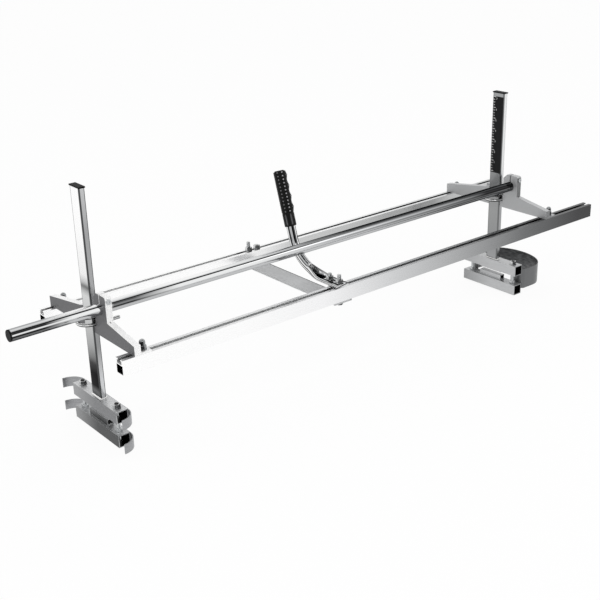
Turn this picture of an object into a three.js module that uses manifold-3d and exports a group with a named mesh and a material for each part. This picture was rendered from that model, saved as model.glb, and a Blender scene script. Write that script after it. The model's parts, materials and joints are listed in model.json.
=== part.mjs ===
import * as THREE from 'three';
import { mergeVertices } from 'three/addons/utils/BufferGeometryUtils.js';
import Module from 'manifold-3d';

// Chainsaw mill. All lengths are in millimetres.
// X runs along the rails to the right, Y from the front rail to the rear rail, Z is up.
// While the parts are laid out, X = 0 is the left end of the rails,
// Y = 0 the front face of the front rail and Z = 0 the top of both rails.

// Rails
const rail_length = 1300;
const rail_width = 24;
const rail_height = 30;
const rail_wall = 2;
const rail_centres = 292;
const slot_lip = 2.5;
const slot_hollow_width = 15;
const slot_hollow_height = 7;

// Fasteners
const bolt_diameter = 8;
const nut_flats_share = 1.6;
const nut_height_share = 0.8;
const washer_share = 2;
const washer_thickness = 1.5;
const head_height_share = 0.6;
const dome_share = 1.9;
const play = 0.3;

// Brackets
const left_setback = 35;
const right_setback = 160;
const plate_thickness = 13;
const arm_front_height = 19;
const arm_root_height = 34;
const arm_rear_height = 20;
const arm_middle_height = 40;
const arm_middle_inset = 127;
const web_height = 46;
const web_rise = 6;
const web_length = 20;
const boss_front = 90;
const boss_length = 43;
const boss_corner_radius = 6;
const lobe_chamfer_width = 11;
const lobe_chamfer_height = 10;
const foot_length = 21;
const foot_thickness = 4;
const foot_bolt_offset = 10;
const cap_nut_round_share = 0.72;
const cap_nut_neck = 6;
const seat_sink = 10;
const seat_wall = 9;
const seat_margin = 18;

// Thrust tube
const tube_diameter = 22;
const tube_wall = 2;
const tube_y = 112;
const tube_z = 56;
const tube_overhang = 148;
const tube_right_stub = 12;
const tube_cap_lip = 3;
const tube_cap_plug = 14;
const tube_play = 0.1;
const slit_width = 2.5;
const pinch_diameter = 6;
const pinch_gap = 4;
const pinch_cover = 9;
const pinch_head_share = 1.6;
const pinch_head_height = 3;
const socket_share = 0.6;
const pinch_blind_wall = 5;
const set_screw_diameter = 6;
const set_screw_z = 31;
const set_screw_depth = 12;

// Posts
const post_width = 34;
const post_depth = 12;
const post_wall = 1.8;
const post_rise = 272;
const post_drop = 137;
const cap_lip = 3;
const cap_rim = 1;
const cap_plug = 12;
const scale_side = 1.5;
const scale_thickness = 0.4;
const scale_top_gap = 8;
const scale_bottom = 81;

// Clamping loops round the posts
const loop_rod = 7;
const loop_low_z = 18;
const loop_pitch = 14.5;
const lower_loop_reach = 32;
const upper_loop_reach = 16;

// Bar clamps
const jaw_width = 25;
const jaw_wall = 2;
const jaw_length = 165;
const jaw_gap = 24;
const clamp_bolt_inset = 18;
const clamp_bolt_stub = 1;
const dome_height = 5;
const pad_length = 66;
const pad_width = 14;
const lower_pad_height = 12;
const upper_pad_height = 4;
const pad_wall = 2;
const seat_depth = 1;

// Skids and nose guard
const skid_height = 20;
const skid_thickness = 2;
const skid_top_inset = 1;
const skid_radius = 32;
const guard_thickness = 2.5;
const guard_height = 49;
const guard_top_inset = 13;
const guard_tab_length = 16;
const guard_tab_inset = 7;
const guard_bend = 9;
const guard_bulge = 99;
const guard_side = 2;
const guard_shoulder_share = 0.4;

// Centre brace and handle
const brace_x = 506;
const brace_width = 44;
const brace_thickness = 5;
const brace_inset = 2;
const brace_bolt_offset = 11;
const brace_bolt_stub_left = 12;
const brace_bolt_stub_right = 1;
const handle_shift = 2;
const handle_diameter = 19;
const foot_flat_thickness = 6;
const foot_flat_width = 33;
const flat_run_share = 0.32;
const flat_corner_share = 0.25;
const scoop_depth = 6;
const scoop_peak_share = 0.16;
const scoop_end_share = 0.37;
const scoop_width_share = 0.72;
const foot_flat_start = 3;
const foot_flat_end = 62;
const handle_bolt_y = 41;
const handle_bolt_stub_front = 10;
const handle_bolt_stub_rear = 5;
const bend_top_y = 155.5;
const bend_top_z = 64;
const handle_lean_degrees = 17;
const bend_foot_pull = 46;
const bend_foot_lift = 6;
const bend_top_pull = 40;
const grip_gap = 26;
const grip_length = 116;
const grip_diameter = 25;
const grip_cap = 4;
const grip_bump = 2.6;
const grip_collar_length = 28;
const grip_fingers = 4;

// One overrun for every cut, and the roundness of round parts
const overrun = 2;
const rod_steps = 20;
const tube_steps = 40;
const loop_steps = 18;
const loop_round_steps = 12;
const handle_round_steps = 28;
const bend_steps = 16;
const arc_steps = 12;
const grip_round_steps = 24;
const grip_steps = 28;

// Derived places
const slot_mouth = bolt_diameter + 2 * play;
const front_slot_y = rail_width / 2;
const rear_slot_y = front_slot_y + rail_centres;
const frame_depth = rail_centres + rail_width;
const middle_y = frame_depth / 2;
const handle_x = brace_x - handle_shift;
const left_face_x = left_setback;
const right_face_x = rail_length - right_setback;
const scale_top = post_rise - scale_top_gap;
const pinch_z = tube_z + tube_diameter / 2 + pinch_gap + pinch_diameter / 2;
const boss_height = pinch_z + pinch_cover;
const loop_radius = post_width / 2 + play + loop_rod / 2;
const nut_height = bolt_diameter * nut_height_share;
const hole_radius = bolt_diameter / 2 + play;
const upper_jaw_top = -post_drop;
const upper_jaw_bottom = upper_jaw_top - jaw_width;
const lower_jaw_top = upper_jaw_bottom - jaw_gap;
const lower_jaw_bottom = lower_jaw_top - jaw_width;
const jaw_front = middle_y - jaw_length / 2;
const jaw_rear = middle_y + jaw_length / 2;
const grip_lean = THREE.MathUtils.degToRad(handle_lean_degrees);

const wasm = await Module();
wasm.setup();

// Turns a three.js geometry into a solid that can be cut and joined
function toSolid(geometry) {
  const bare = geometry.clone();
  bare.deleteAttribute('normal');
  bare.deleteAttribute('uv');
  const welded = mergeVertices(bare);
  const mesh = new wasm.Mesh({
    numProp: 3,
    vertProperties: new Float32Array(welded.attributes.position.array),
    triVerts: new Uint32Array(welded.index.array),
  });
  return new wasm.Manifold(mesh);
}

function finish(colour, roughness, metalness) {
  return new THREE.MeshStandardMaterial({ color: colour, roughness, metalness });
}

const finishes = {
  rail: () => finish('#c3c6c8', 0.4, 0.85),
  dark_casting: () => finish('#6c6c6e', 0.55, 0.3),
  light_casting: () => finish('#a2a3a4', 0.55, 0.3),
  dark_clamp: () => finish('#7d7e80', 0.5, 0.5),
  light_clamp: () => finish('#b4b5b6', 0.5, 0.5),
  post: () => finish('#9fa1a3', 0.35, 0.8),
  chrome: () => finish('#d4d6d8', 0.12, 1),
  zinc: () => finish('#b9bcbe', 0.35, 0.8),
  strip: () => finish('#9a9b9d', 0.45, 0.6),
  brace: () => finish('#b6b7b8', 0.45, 0.5),
  black_plastic: () => finish('#1d1d1e', 0.5, 0),
  rubber: () => finish('#161617', 0.75, 0),
  scale: () => finish('#202022', 0.6, 0),
};

// Makes one named mesh with its own material
function toMesh(name, solid, material) {
  const data = solid.getMesh();
  const geometry = new THREE.BufferGeometry();
  geometry.setAttribute('position', new THREE.BufferAttribute(new Float32Array(data.vertProperties), 3));
  geometry.setIndex(new THREE.BufferAttribute(new Uint32Array(data.triVerts), 1));
  const faceted = geometry.toNonIndexed();
  faceted.computeVertexNormals();
  const mesh = new THREE.Mesh(faceted, material);
  mesh.name = name;
  return mesh;
}

// Box between two corners
function block(x0, x1, y0, y1, z0, z1) {
  const geometry = new THREE.BoxGeometry(x1 - x0, y1 - y0, z1 - z0);
  geometry.translate((x0 + x1) / 2, (y0 + y1) / 2, (z0 + z1) / 2);
  return toSolid(geometry);
}

// Upright round or polygonal rod
function uprightRod(radius, x, y, z0, z1, steps = rod_steps) {
  const geometry = new THREE.CylinderGeometry(radius, radius, z1 - z0, steps);
  geometry.rotateX(Math.PI / 2);
  geometry.translate(x, y, (z0 + z1) / 2);
  return toSolid(geometry);
}

// Rod along X
function lengthwiseRod(radius, y, z, x0, x1, steps = rod_steps) {
  const geometry = new THREE.CylinderGeometry(radius, radius, x1 - x0, steps);
  geometry.rotateZ(-Math.PI / 2);
  geometry.translate((x0 + x1) / 2, y, z);
  return toSolid(geometry);
}

// Rod along Y
function crosswiseRod(radius, x, z, y0, y1, steps = rod_steps) {
  const geometry = new THREE.CylinderGeometry(radius, radius, y1 - y0, steps);
  geometry.translate(x, (y0 + y1) / 2, z);
  return toSolid(geometry);
}

// Plate whose outline lies in the YZ plane
function standingPlate(shape, x0, x1) {
  const settings = { depth: x1 - x0, bevelEnabled: false, curveSegments: arc_steps };
  const geometry = new THREE.ExtrudeGeometry(shape, settings);
  const along_y = new THREE.Vector3(0, 1, 0);
  const along_z = new THREE.Vector3(0, 0, 1);
  const along_x = new THREE.Vector3(1, 0, 0);
  geometry.applyMatrix4(new THREE.Matrix4().makeBasis(along_y, along_z, along_x));
  geometry.translate(x0, 0, 0);
  return toSolid(geometry);
}

// Strip on edge that follows a plan line, centred on it
function edgeStrip(line, thickness, z0, z1) {
  const left_side = [];
  const right_side = [];
  line.forEach((point, i) => {
    const before = line[Math.max(i - 1, 0)];
    const after = line[Math.min(i + 1, line.length - 1)];
    const normal = new THREE.Vector2(before.y - after.y, after.x - before.x).normalize();
    left_side.push(point.clone().addScaledVector(normal, thickness / 2));
    right_side.unshift(point.clone().addScaledVector(normal, -thickness / 2));
  });
  const shape = new THREE.Shape([...left_side, ...right_side]);
  const geometry = new THREE.ExtrudeGeometry(shape, { depth: z1 - z0, bevelEnabled: false });
  geometry.translate(0, 0, z0);
  return toSolid(geometry);
}

// Closed skin through rings of points, all with the same number of points
function loft(rings) {
  const round = rings[0].length;
  const positions = rings.flat().flatMap((point) => [point.x, point.y, point.z]);
  const indices = [];
  for (let i = 0; i + 1 < rings.length; i += 1) {
    for (let j = 0; j < round; j += 1) {
      const a = i * round + j;
      const b = i * round + ((j + 1) % round);
      indices.push(a, b, b + round);
      indices.push(a, b + round, a + round);
    }
  }
  const ends = [rings[0], rings[rings.length - 1]];
  ends.forEach((ring, k) => {
    const centre = ring.reduce((sum, point) => sum.add(point), new THREE.Vector3()).divideScalar(round);
    const hub = positions.length / 3;
    const first = k * (rings.length - 1) * round;
    positions.push(centre.x, centre.y, centre.z);
    for (let j = 0; j < round; j += 1) {
      const a = first + j;
      const b = first + ((j + 1) % round);
      indices.push(...(k ? [a, b, hub] : [b, a, hub]));
    }
  });
  const geometry = new THREE.BufferGeometry();
  geometry.setAttribute('position', new THREE.BufferAttribute(new Float32Array(positions), 3));
  geometry.setIndex(indices);
  return toSolid(geometry);
}

// Ring of points round a centre; squareness runs from 1 for an ellipse towards 0 for a box
function ring(centre, side, up, half_width, half_height, squareness, steps) {
  const soften = (value) => Math.sign(value) * Math.abs(value) ** squareness;
  return Array.from({ length: steps }, (_, i) => {
    const angle = (2 * Math.PI * i) / steps;
    return centre
      .clone()
      .addScaledVector(side, half_width * soften(Math.cos(angle)))
      .addScaledVector(up, half_height * soften(Math.sin(angle)));
  });
}

function hexRadius(flats) {
  return flats / Math.sqrt(3);
}

// Washer, hexagon nut and threaded end that stand on a seat
function nutAndStub(x, y, seat_z, stub) {
  const nut_z = seat_z + washer_thickness;
  const top_z = nut_z + nut_height + stub;
  const washer = uprightRod((bolt_diameter * washer_share) / 2, x, y, seat_z, nut_z);
  const nut = uprightRod(hexRadius(bolt_diameter * nut_flats_share), x, y, nut_z, nut_z + nut_height, 6);
  const stem = uprightRod(bolt_diameter / 2, x, y, seat_z, top_z);
  return washer.add(nut).add(stem);
}

// Bolt that goes up through a stack from a hexagon head under it
function throughBolt(name, x, y, head_z, seat_z, stub) {
  const head_height = bolt_diameter * head_height_share;
  const head = uprightRod(hexRadius(bolt_diameter * nut_flats_share), x, y, head_z - head_height, head_z, 6);
  const shank = uprightRod(bolt_diameter / 2, x, y, head_z - head_height, seat_z + washer_thickness);
  const solid = head.add(shank).add(nutAndStub(x, y, seat_z, stub));
  return toMesh(name, solid, finishes.zinc());
}

// Slotted rail: a T-slot on top and a closed cell under it, both open at the ends
function rail(name, centre_y, bolt_places) {
  const half = rail_width / 2;
  const slot_floor = -slot_lip - slot_hollow_height;
  const far_end = rail_length + overrun;
  const hollow_half = slot_hollow_width / 2;
  const cell_half = half - rail_wall;
  let solid = block(0, rail_length, centre_y - half, centre_y + half, -rail_height, 0);
  const mouth_half = slot_mouth / 2;
  const mouth = block(-overrun, far_end, centre_y - mouth_half, centre_y + mouth_half, slot_floor, overrun);
  const hollow_front = centre_y - hollow_half;
  const hollow_rear = centre_y + hollow_half;
  const hollow = block(-overrun, far_end, hollow_front, hollow_rear, slot_floor, -slot_lip);
  const cell_top = slot_floor - rail_wall;
  const cell_bottom = rail_wall - rail_height;
  const cell = block(-overrun, far_end, centre_y - cell_half, centre_y + cell_half, cell_bottom, cell_top);
  solid = solid.subtract(mouth).subtract(hollow).subtract(cell);
  bolt_places.forEach((x) => {
    solid = solid.subtract(uprightRod(hole_radius, x, centre_y, -rail_height - overrun, overrun));
  });
  return toMesh(name, solid, finishes.rail());
}

// Outline of a bracket seen along X, with the boss for the thrust tube in front of the post
function bracketShape() {
  const boss_rear = boss_front + boss_length;
  const web_front = middle_y - web_length / 2;
  const web_rear = middle_y + web_length / 2;
  const shape = new THREE.Shape();
  shape.moveTo(0, 0);
  shape.lineTo(frame_depth, 0);
  shape.lineTo(frame_depth, arm_rear_height);
  shape.lineTo(frame_depth - arm_middle_inset, arm_middle_height);
  shape.lineTo(web_rear, web_height);
  shape.lineTo(web_front, web_height);
  shape.lineTo(boss_rear, web_height + web_rise);
  shape.lineTo(boss_rear, boss_height - lobe_chamfer_height);
  shape.lineTo(boss_rear - lobe_chamfer_width, boss_height);
  shape.lineTo(boss_front + boss_corner_radius, boss_height);
  shape.quadraticCurveTo(boss_front, boss_height, boss_front, boss_height - boss_corner_radius);
  shape.lineTo(boss_front, arm_root_height);
  shape.lineTo(0, arm_front_height);
  shape.closePath();
  return shape;
}

// Foot of a bracket on one rail
function bracketFoot(x0, slot_y) {
  const half = rail_width / 2;
  return block(x0 - seat_depth, x0 + foot_length, slot_y - half, slot_y + half, 0, foot_thickness);
}

function plateFrontX(face_x) {
  return face_x - seat_sink;
}

function plateBackX(face_x) {
  return plateFrontX(face_x) + plate_thickness;
}

function footBoltX(face_x) {
  return plateBackX(face_x) + foot_bolt_offset;
}

function loopHeights() {
  return [loop_low_z, loop_low_z + loop_pitch];
}

function loopSides() {
  return [middle_y - loop_radius, middle_y + loop_radius];
}

// Plate bracket that joins both rails, carries the tube and holds the post
function bracket(side, face_x, material) {
  const front_x = plateFrontX(face_x);
  const back_x = plateBackX(face_x);
  const seat_back_x = face_x + seat_wall;
  const middle_x = (front_x + back_x) / 2;
  const cut_front = front_x - overrun;
  const cut_back = seat_back_x + overrun;
  let solid = standingPlate(bracketShape(), front_x, back_x);
  [front_slot_y, rear_slot_y].forEach((slot_y) => {
    solid = solid.add(bracketFoot(back_x, slot_y));
  });
  const seat_half = post_width / 2 + seat_margin;
  solid = solid.add(block(face_x, seat_back_x, middle_y - seat_half, middle_y + seat_half, 0, web_height));
  const notch_half = post_width / 2 + play;
  const notch_top = boss_height + overrun;
  const notch = block(cut_front, face_x, middle_y - notch_half, middle_y + notch_half, -overrun, notch_top);
  solid = solid.subtract(notch);
  const pocket_half = loop_radius + loop_rod / 2 + play;
  const [low_z, high_z] = loopHeights();
  const pocket_low = low_z - loop_rod / 2 - play;
  const pocket_high = high_z + loop_rod / 2 + play;
  const pocket_front = middle_y - pocket_half;
  const pocket_rear = middle_y + pocket_half;
  const pocket = block(cut_front, face_x, pocket_front, pocket_rear, pocket_low, pocket_high);
  solid = solid.subtract(pocket);
  [front_slot_y, rear_slot_y].forEach((slot_y) => {
    const hole_top = foot_thickness + overrun;
    solid = solid.subtract(uprightRod(hole_radius, footBoltX(face_x), slot_y, -overrun, hole_top));
  });
  const bore_radius = tube_diameter / 2 + tube_play;
  solid = solid.subtract(lengthwiseRod(bore_radius, tube_y, tube_z, cut_front, cut_back, tube_steps));
  const slit_half = slit_width / 2;
  const slit_top = boss_height + overrun;
  const slit = block(cut_front, cut_back, tube_y - slit_half, tube_y + slit_half, tube_z, slit_top);
  solid = solid.subtract(slit);
  const pinch_radius = pinch_diameter / 2 + play;
  const pinch_end = boss_front + boss_length - pinch_blind_wall;
  solid = solid.subtract(crosswiseRod(pinch_radius, middle_x, pinch_z, boss_front - overrun, pinch_end));
  const screw_radius = set_screw_diameter / 2 + play;
  const screw_end = boss_front + set_screw_depth + play;
  solid = solid.subtract(crosswiseRod(screw_radius, middle_x, set_screw_z, boss_front - overrun, screw_end));
  loopHeights().forEach((z) => {
    loopSides().forEach((y) => {
      solid = solid.subtract(lengthwiseRod(loop_rod / 2 + play, y, z, cut_front, cut_back));
    });
  });
  return toMesh(`${side}_bracket`, solid, material);
}

// Round top of a cap nut on a bracket foot
function capNutDome(x, y) {
  const nut_top = foot_thickness + washer_thickness + nut_height;
  const radius = bolt_diameter * cap_nut_round_share;
  const straight = uprightRod(radius, x, y, nut_top - seat_depth, nut_top + cap_nut_neck);
  const round = new THREE.SphereGeometry(radius, rod_steps, rod_steps / 2);
  round.rotateX(Math.PI / 2);
  round.translate(x, y, nut_top + cap_nut_neck);
  return straight.add(toSolid(round));
}

// Bolt with its head in the T-slot of a rail and its cap nut on the bracket foot
function railBolt(name, face_x, slot_y) {
  const x = footBoltX(face_x);
  const head_radius = slot_hollow_width / 2 - play;
  const head_height = slot_hollow_height * head_height_share;
  const head = uprightRod(head_radius, x, slot_y, -slot_lip - head_height, -slot_lip);
  const shank = uprightRod(bolt_diameter / 2, x, slot_y, -slot_lip - head_height, foot_thickness);
  const solid = head.add(shank).add(nutAndStub(x, slot_y, foot_thickness, 0)).add(capNutDome(x, slot_y));
  return toMesh(name, solid, finishes.zinc());
}

// Socket screw that closes the slit of the boss on the tube
function pinchBolt(side, face_x) {
  const x = plateFrontX(face_x) + plate_thickness / 2;
  const head_radius = (pinch_diameter * pinch_head_share) / 2;
  const shank_end = boss_front + boss_length - pinch_blind_wall - play;
  const head_y = boss_front - pinch_head_height;
  const head = crosswiseRod(head_radius, x, pinch_z, head_y, boss_front);
  const shank = crosswiseRod(pinch_diameter / 2, x, pinch_z, head_y, shank_end);
  const socket_radius = (pinch_diameter * socket_share) / 2;
  const socket_floor = boss_front - pinch_head_height / 2;
  const socket = crosswiseRod(socket_radius, x, pinch_z, head_y - overrun, socket_floor, 6);
  return toMesh(`${side}_pinch_bolt`, head.add(shank).subtract(socket), finishes.zinc());
}

// Headless screw in the front face of the bracket
function setScrew(side, face_x) {
  const x = plateFrontX(face_x) + plate_thickness / 2;
  const body = crosswiseRod(set_screw_diameter / 2, x, set_screw_z, boss_front, boss_front + set_screw_depth);
  const socket_radius = (set_screw_diameter * socket_share) / 2;
  const socket_floor = boss_front + set_screw_depth / 2;
  const socket = crosswiseRod(socket_radius, x, set_screw_z, boss_front - overrun, socket_floor, 6);
  return toMesh(`${side}_set_screw`, body.subtract(socket), finishes.black_plastic());
}

// Bent rod that goes round the post and through the seat wall
function clampingLoop(name, face_x, z, reach) {
  const centre_x = face_x - post_depth;
  const tip_x = face_x + seat_wall + reach;
  const up = new THREE.Vector3(0, 0, 1);
  const rings = [];
  const addRing = (x, y, tangent) => {
    const side = new THREE.Vector3().crossVectors(up, tangent);
    rings.push(ring(new THREE.Vector3(x, y, z), side, up, loop_rod / 2, loop_rod / 2, 1, loop_round_steps));
  };
  addRing(tip_x, middle_y - loop_radius, new THREE.Vector3(-1, 0, 0));
  for (let i = 0; i <= loop_steps; i += 1) {
    const angle = (Math.PI * i) / loop_steps;
    const x = centre_x - loop_radius * Math.sin(angle);
    const y = middle_y - loop_radius * Math.cos(angle);
    addRing(x, y, new THREE.Vector3(-Math.cos(angle), Math.sin(angle), 0));
  }
  addRing(tip_x, middle_y + loop_radius, new THREE.Vector3(1, 0, 0));
  return toMesh(name, loft(rings), finishes.zinc());
}

// Nut on one leg of a clamping loop, behind the seat wall
function loopNut(name, face_x, y, z) {
  const x0 = face_x + seat_wall;
  const x1 = x0 + loop_rod * nut_height_share;
  const nut = lengthwiseRod(hexRadius(loop_rod * nut_flats_share), y, z, x0, x1, 6);
  const bore = lengthwiseRod(loop_rod / 2 + play, y, z, x0 - overrun, x1 + overrun);
  return toMesh(name, nut.subtract(bore), finishes.zinc());
}

// Everything that moves along the rails with one bracket
function bracketParts(side, face_x, material) {
  const parts = [bracket(side, face_x, material), pinchBolt(side, face_x), setScrew(side, face_x)];
  parts.push(railBolt(`${side}_front_rail_bolt`, face_x, front_slot_y));
  parts.push(railBolt(`${side}_rear_rail_bolt`, face_x, rear_slot_y));
  const levels = ['lower', 'upper'];
  const reaches = [lower_loop_reach, upper_loop_reach];
  const ends = ['front', 'rear'];
  loopHeights().forEach((z, i) => {
    parts.push(clampingLoop(`${side}_${levels[i]}_loop`, face_x, z, reaches[i]));
    loopSides().forEach((y, j) => {
      parts.push(loopNut(`${side}_${levels[i]}_${ends[j]}_loop_nut`, face_x, y, z));
    });
  });
  return parts;
}

// Upright rectangular tube, open at both ends
function post(side, face_x) {
  const x0 = face_x - post_depth;
  const y0 = middle_y - post_width / 2;
  const y1 = middle_y + post_width / 2;
  const low = -post_drop - overrun;
  const high = post_rise + overrun;
  const outer = block(x0, face_x, y0, y1, -post_drop, post_rise);
  const inner = block(x0 + post_wall, face_x - post_wall, y0 + post_wall, y1 - post_wall, low, high);
  return toMesh(`${side}_post`, outer.subtract(inner), finishes.post());
}

// Plastic cap with a rim on the post and a plug inside it
function postCap(side, face_x) {
  const x0 = face_x - post_depth;
  const y0 = middle_y - post_width / 2;
  const y1 = middle_y + post_width / 2;
  const inset = post_wall + play;
  const lip_top = post_rise + cap_lip;
  const lip = block(x0 - cap_rim, face_x + cap_rim, y0 - cap_rim, y1 + cap_rim, post_rise, lip_top);
  const plug_bottom = post_rise - cap_plug;
  const plug_top = post_rise + cap_lip / 2;
  const plug = block(x0 + inset, face_x - inset, y0 + inset, y1 - inset, plug_bottom, plug_top);
  return toMesh(`${side}_post_cap`, lip.add(plug), finishes.black_plastic());
}

// Thin scale strip on the outer face of the right post
function postScale(face_x) {
  const x1 = face_x - post_depth;
  const half = post_width / 2 - scale_side;
  const solid = block(x1 - scale_thickness, x1, middle_y - half, middle_y + half, scale_bottom, scale_top);
  return toMesh('right_post_scale', solid, finishes.scale());
}

function jawCentreX(face_x) {
  return face_x - post_depth / 2;
}

function clampBoltYs() {
  return [jaw_front + clamp_bolt_inset, jaw_rear - clamp_bolt_inset];
}

// Square tube along Y with two upright bolt holes, open at both ends
function jawTube(x, z0) {
  const half = jaw_width / 2;
  const inner = half - jaw_wall;
  const z1 = z0 + jaw_width;
  let solid = block(x - half, x + half, jaw_front, jaw_rear, z0, z1);
  const bore_low = z0 + jaw_wall;
  const bore_high = z1 - jaw_wall;
  const bore_front = jaw_front - overrun;
  const bore_rear = jaw_rear + overrun;
  solid = solid.subtract(block(x - inner, x + inner, bore_front, bore_rear, bore_low, bore_high));
  clampBoltYs().forEach((y) => {
    solid = solid.subtract(uprightRod(hole_radius, x, y, z0 - overrun, z1 + overrun));
  });
  return solid;
}

// Upper jaw with a thin flat pad under it
function upperJaw(side, face_x, material) {
  const x = jawCentreX(face_x);
  const half = pad_width / 2;
  const y0 = middle_y - pad_length / 2;
  const y1 = middle_y + pad_length / 2;
  const pad_bottom = upper_jaw_bottom - upper_pad_height;
  const pad = block(x - half, x + half, y0, y1, pad_bottom, upper_jaw_bottom + seat_depth);
  return toMesh(`${side}_upper_jaw`, jawTube(x, upper_jaw_bottom).add(pad), material);
}

// Lower jaw with a small tube on top of it as its pad
function lowerJaw(side, face_x, material) {
  const x = jawCentreX(face_x);
  const half = pad_width / 2;
  const inner = half - pad_wall;
  const y0 = middle_y - pad_length / 2;
  const y1 = middle_y + pad_length / 2;
  const pad_top = lower_jaw_top + lower_pad_height;
  const pad = block(x - half, x + half, y0, y1, lower_jaw_top - seat_depth, pad_top);
  const bore_low = lower_jaw_top + pad_wall;
  const bore = block(x - inner, x + inner, y0 - overrun, y1 + overrun, bore_low, pad_top - pad_wall);
  return toMesh(`${side}_lower_jaw`, jawTube(x, lower_jaw_bottom).add(pad).subtract(bore), material);
}

// Round-headed bolt fixed in the lower jaw by a nut on top of it
function clampBolt(name, face_x, y) {
  const x = jawCentreX(face_x);
  const top_z = upper_jaw_top + washer_thickness + nut_height + clamp_bolt_stub;
  const profile = [new THREE.Vector2(0, 0)];
  const dome_radius = (bolt_diameter * dome_share) / 2;
  for (let i = 1; i <= arc_steps / 2; i += 1) {
    const angle = (Math.PI * i) / arc_steps;
    profile.push(new THREE.Vector2(dome_radius * Math.sin(angle), dome_height * (1 - Math.cos(angle))));
  }
  profile.push(new THREE.Vector2(0, dome_height));
  const dome = new THREE.LatheGeometry(profile, rod_steps);
  dome.rotateX(Math.PI / 2);
  dome.translate(x, y, lower_jaw_bottom - dome_height);
  const shank = uprightRod(bolt_diameter / 2, x, y, lower_jaw_bottom - dome_height / 2, top_z);
  const nut_radius = hexRadius(bolt_diameter * nut_flats_share);
  const nut = uprightRod(nut_radius, x, y, lower_jaw_top, lower_jaw_top + nut_height, 6);
  return toMesh(name, toSolid(dome).add(shank).add(nut), finishes.zinc());
}

// Nut with washer on top of the upper jaw, which draws the lower jaw up
function clampNut(name, face_x, y) {
  const x = jawCentreX(face_x);
  const nut_z = upper_jaw_top + washer_thickness;
  const washer = uprightRod((bolt_diameter * washer_share) / 2, x, y, upper_jaw_top, nut_z);
  const nut = uprightRod(hexRadius(bolt_diameter * nut_flats_share), x, y, nut_z, nut_z + nut_height, 6);
  const bore = uprightRod(hole_radius, x, y, upper_jaw_top - overrun, nut_z + nut_height + overrun);
  return toMesh(name, washer.add(nut).subtract(bore), finishes.zinc());
}

// Both jaws of one bar clamp with their bolts and nuts
function clampParts(side, face_x, material) {
  const parts = [upperJaw(side, face_x, material()), lowerJaw(side, face_x, material())];
  const ends = ['front', 'rear'];
  clampBoltYs().forEach((y, i) => {
    parts.push(clampBolt(`${side}_${ends[i]}_clamp_bolt`, face_x, y));
    parts.push(clampNut(`${side}_${ends[i]}_clamp_nut`, face_x, y));
  });
  return parts;
}

// Skid on the inner face of a jaw, with both ends curled outwards
function skid(name, jaw_top) {
  const x = jawCentreX(left_face_x) + jaw_width / 2 + skid_thickness / 2;
  const line = [];
  for (let i = 0; i <= arc_steps; i += 1) {
    const angle = (Math.PI / 2) * (1 - i / arc_steps);
    const curl_x = x - skid_radius + skid_radius * Math.cos(angle);
    line.push(new THREE.Vector2(curl_x, jaw_front - skid_radius * Math.sin(angle)));
  }
  const mirrored = line.map((point) => new THREE.Vector2(point.x, 2 * middle_y - point.y)).reverse();
  const z1 = jaw_top - skid_top_inset;
  const solid = edgeStrip([...line, ...mirrored], skid_thickness, z1 - skid_height, z1);
  return toMesh(name, solid, finishes.strip());
}

// Plan line of the nose guard, from its front tab round the nose to its rear tab
function guardLine() {
  const x0 = jawCentreX(right_face_x) + jaw_width / 2 + play + guard_thickness / 2;
  const tab_y = jaw_front + guard_tab_inset;
  const side_y = jaw_front - guard_side;
  const nose_x = x0 + guard_bulge;
  const shoulder_x = x0 + guard_bulge * guard_shoulder_share;
  const line = [new THREE.Vector2(x0, tab_y + guard_tab_length), new THREE.Vector2(x0, tab_y)];
  const bend = new THREE.QuadraticBezierCurve(
    new THREE.Vector2(x0, side_y + guard_bend),
    new THREE.Vector2(x0, side_y),
    new THREE.Vector2(x0 + guard_bend, side_y),
  );
  line.push(...bend.getPoints(arc_steps / 2));
  for (let i = 0; i <= arc_steps; i += 1) {
    const angle = (Math.PI / 2) * (1 - i / arc_steps);
    const x = shoulder_x + (nose_x - shoulder_x) * Math.cos(angle);
    line.push(new THREE.Vector2(x, middle_y - (middle_y - side_y) * Math.sin(angle)));
  }
  const mirrored = line.map((point) => new THREE.Vector2(point.x, 2 * middle_y - point.y)).reverse();
  return [...line, ...mirrored.slice(1)];
}

// Bent strip that keeps the nose of the guide bar off the log
function noseGuard() {
  const z1 = upper_jaw_top - guard_top_inset;
  const solid = edgeStrip(guardLine(), guard_thickness, z1 - guard_height, z1);
  return toMesh('nose_guard', solid, finishes.strip());
}

// Long round tube that runs through both brackets
function thrustTube() {
  const radius = tube_diameter / 2;
  const x1 = plateBackX(right_face_x) + tube_right_stub;
  const outer = lengthwiseRod(radius, tube_y, tube_z, -tube_overhang, x1, tube_steps);
  const low = -tube_overhang - overrun;
  const inner = lengthwiseRod(radius - tube_wall, tube_y, tube_z, low, x1 + overrun, tube_steps);
  return toMesh('thrust_tube', outer.subtract(inner), finishes.chrome());
}

// Plastic cap in the left end of the tube
function thrustTubeCap() {
  const radius = tube_diameter / 2;
  const lip_end = -tube_overhang - tube_cap_lip;
  const lip = lengthwiseRod(radius, tube_y, tube_z, lip_end, -tube_overhang, tube_steps);
  const plug_radius = radius - tube_wall - play;
  const lip_middle = -tube_overhang - tube_cap_lip / 2;
  const plug_end = tube_cap_plug - tube_overhang;
  const plug = lengthwiseRod(plug_radius, tube_y, tube_z, lip_middle, plug_end, tube_steps);
  return toMesh('thrust_tube_cap', lip.add(plug), finishes.black_plastic());
}

function braceBoltXs() {
  return [brace_x - brace_bolt_offset, brace_x + brace_bolt_offset];
}

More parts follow.
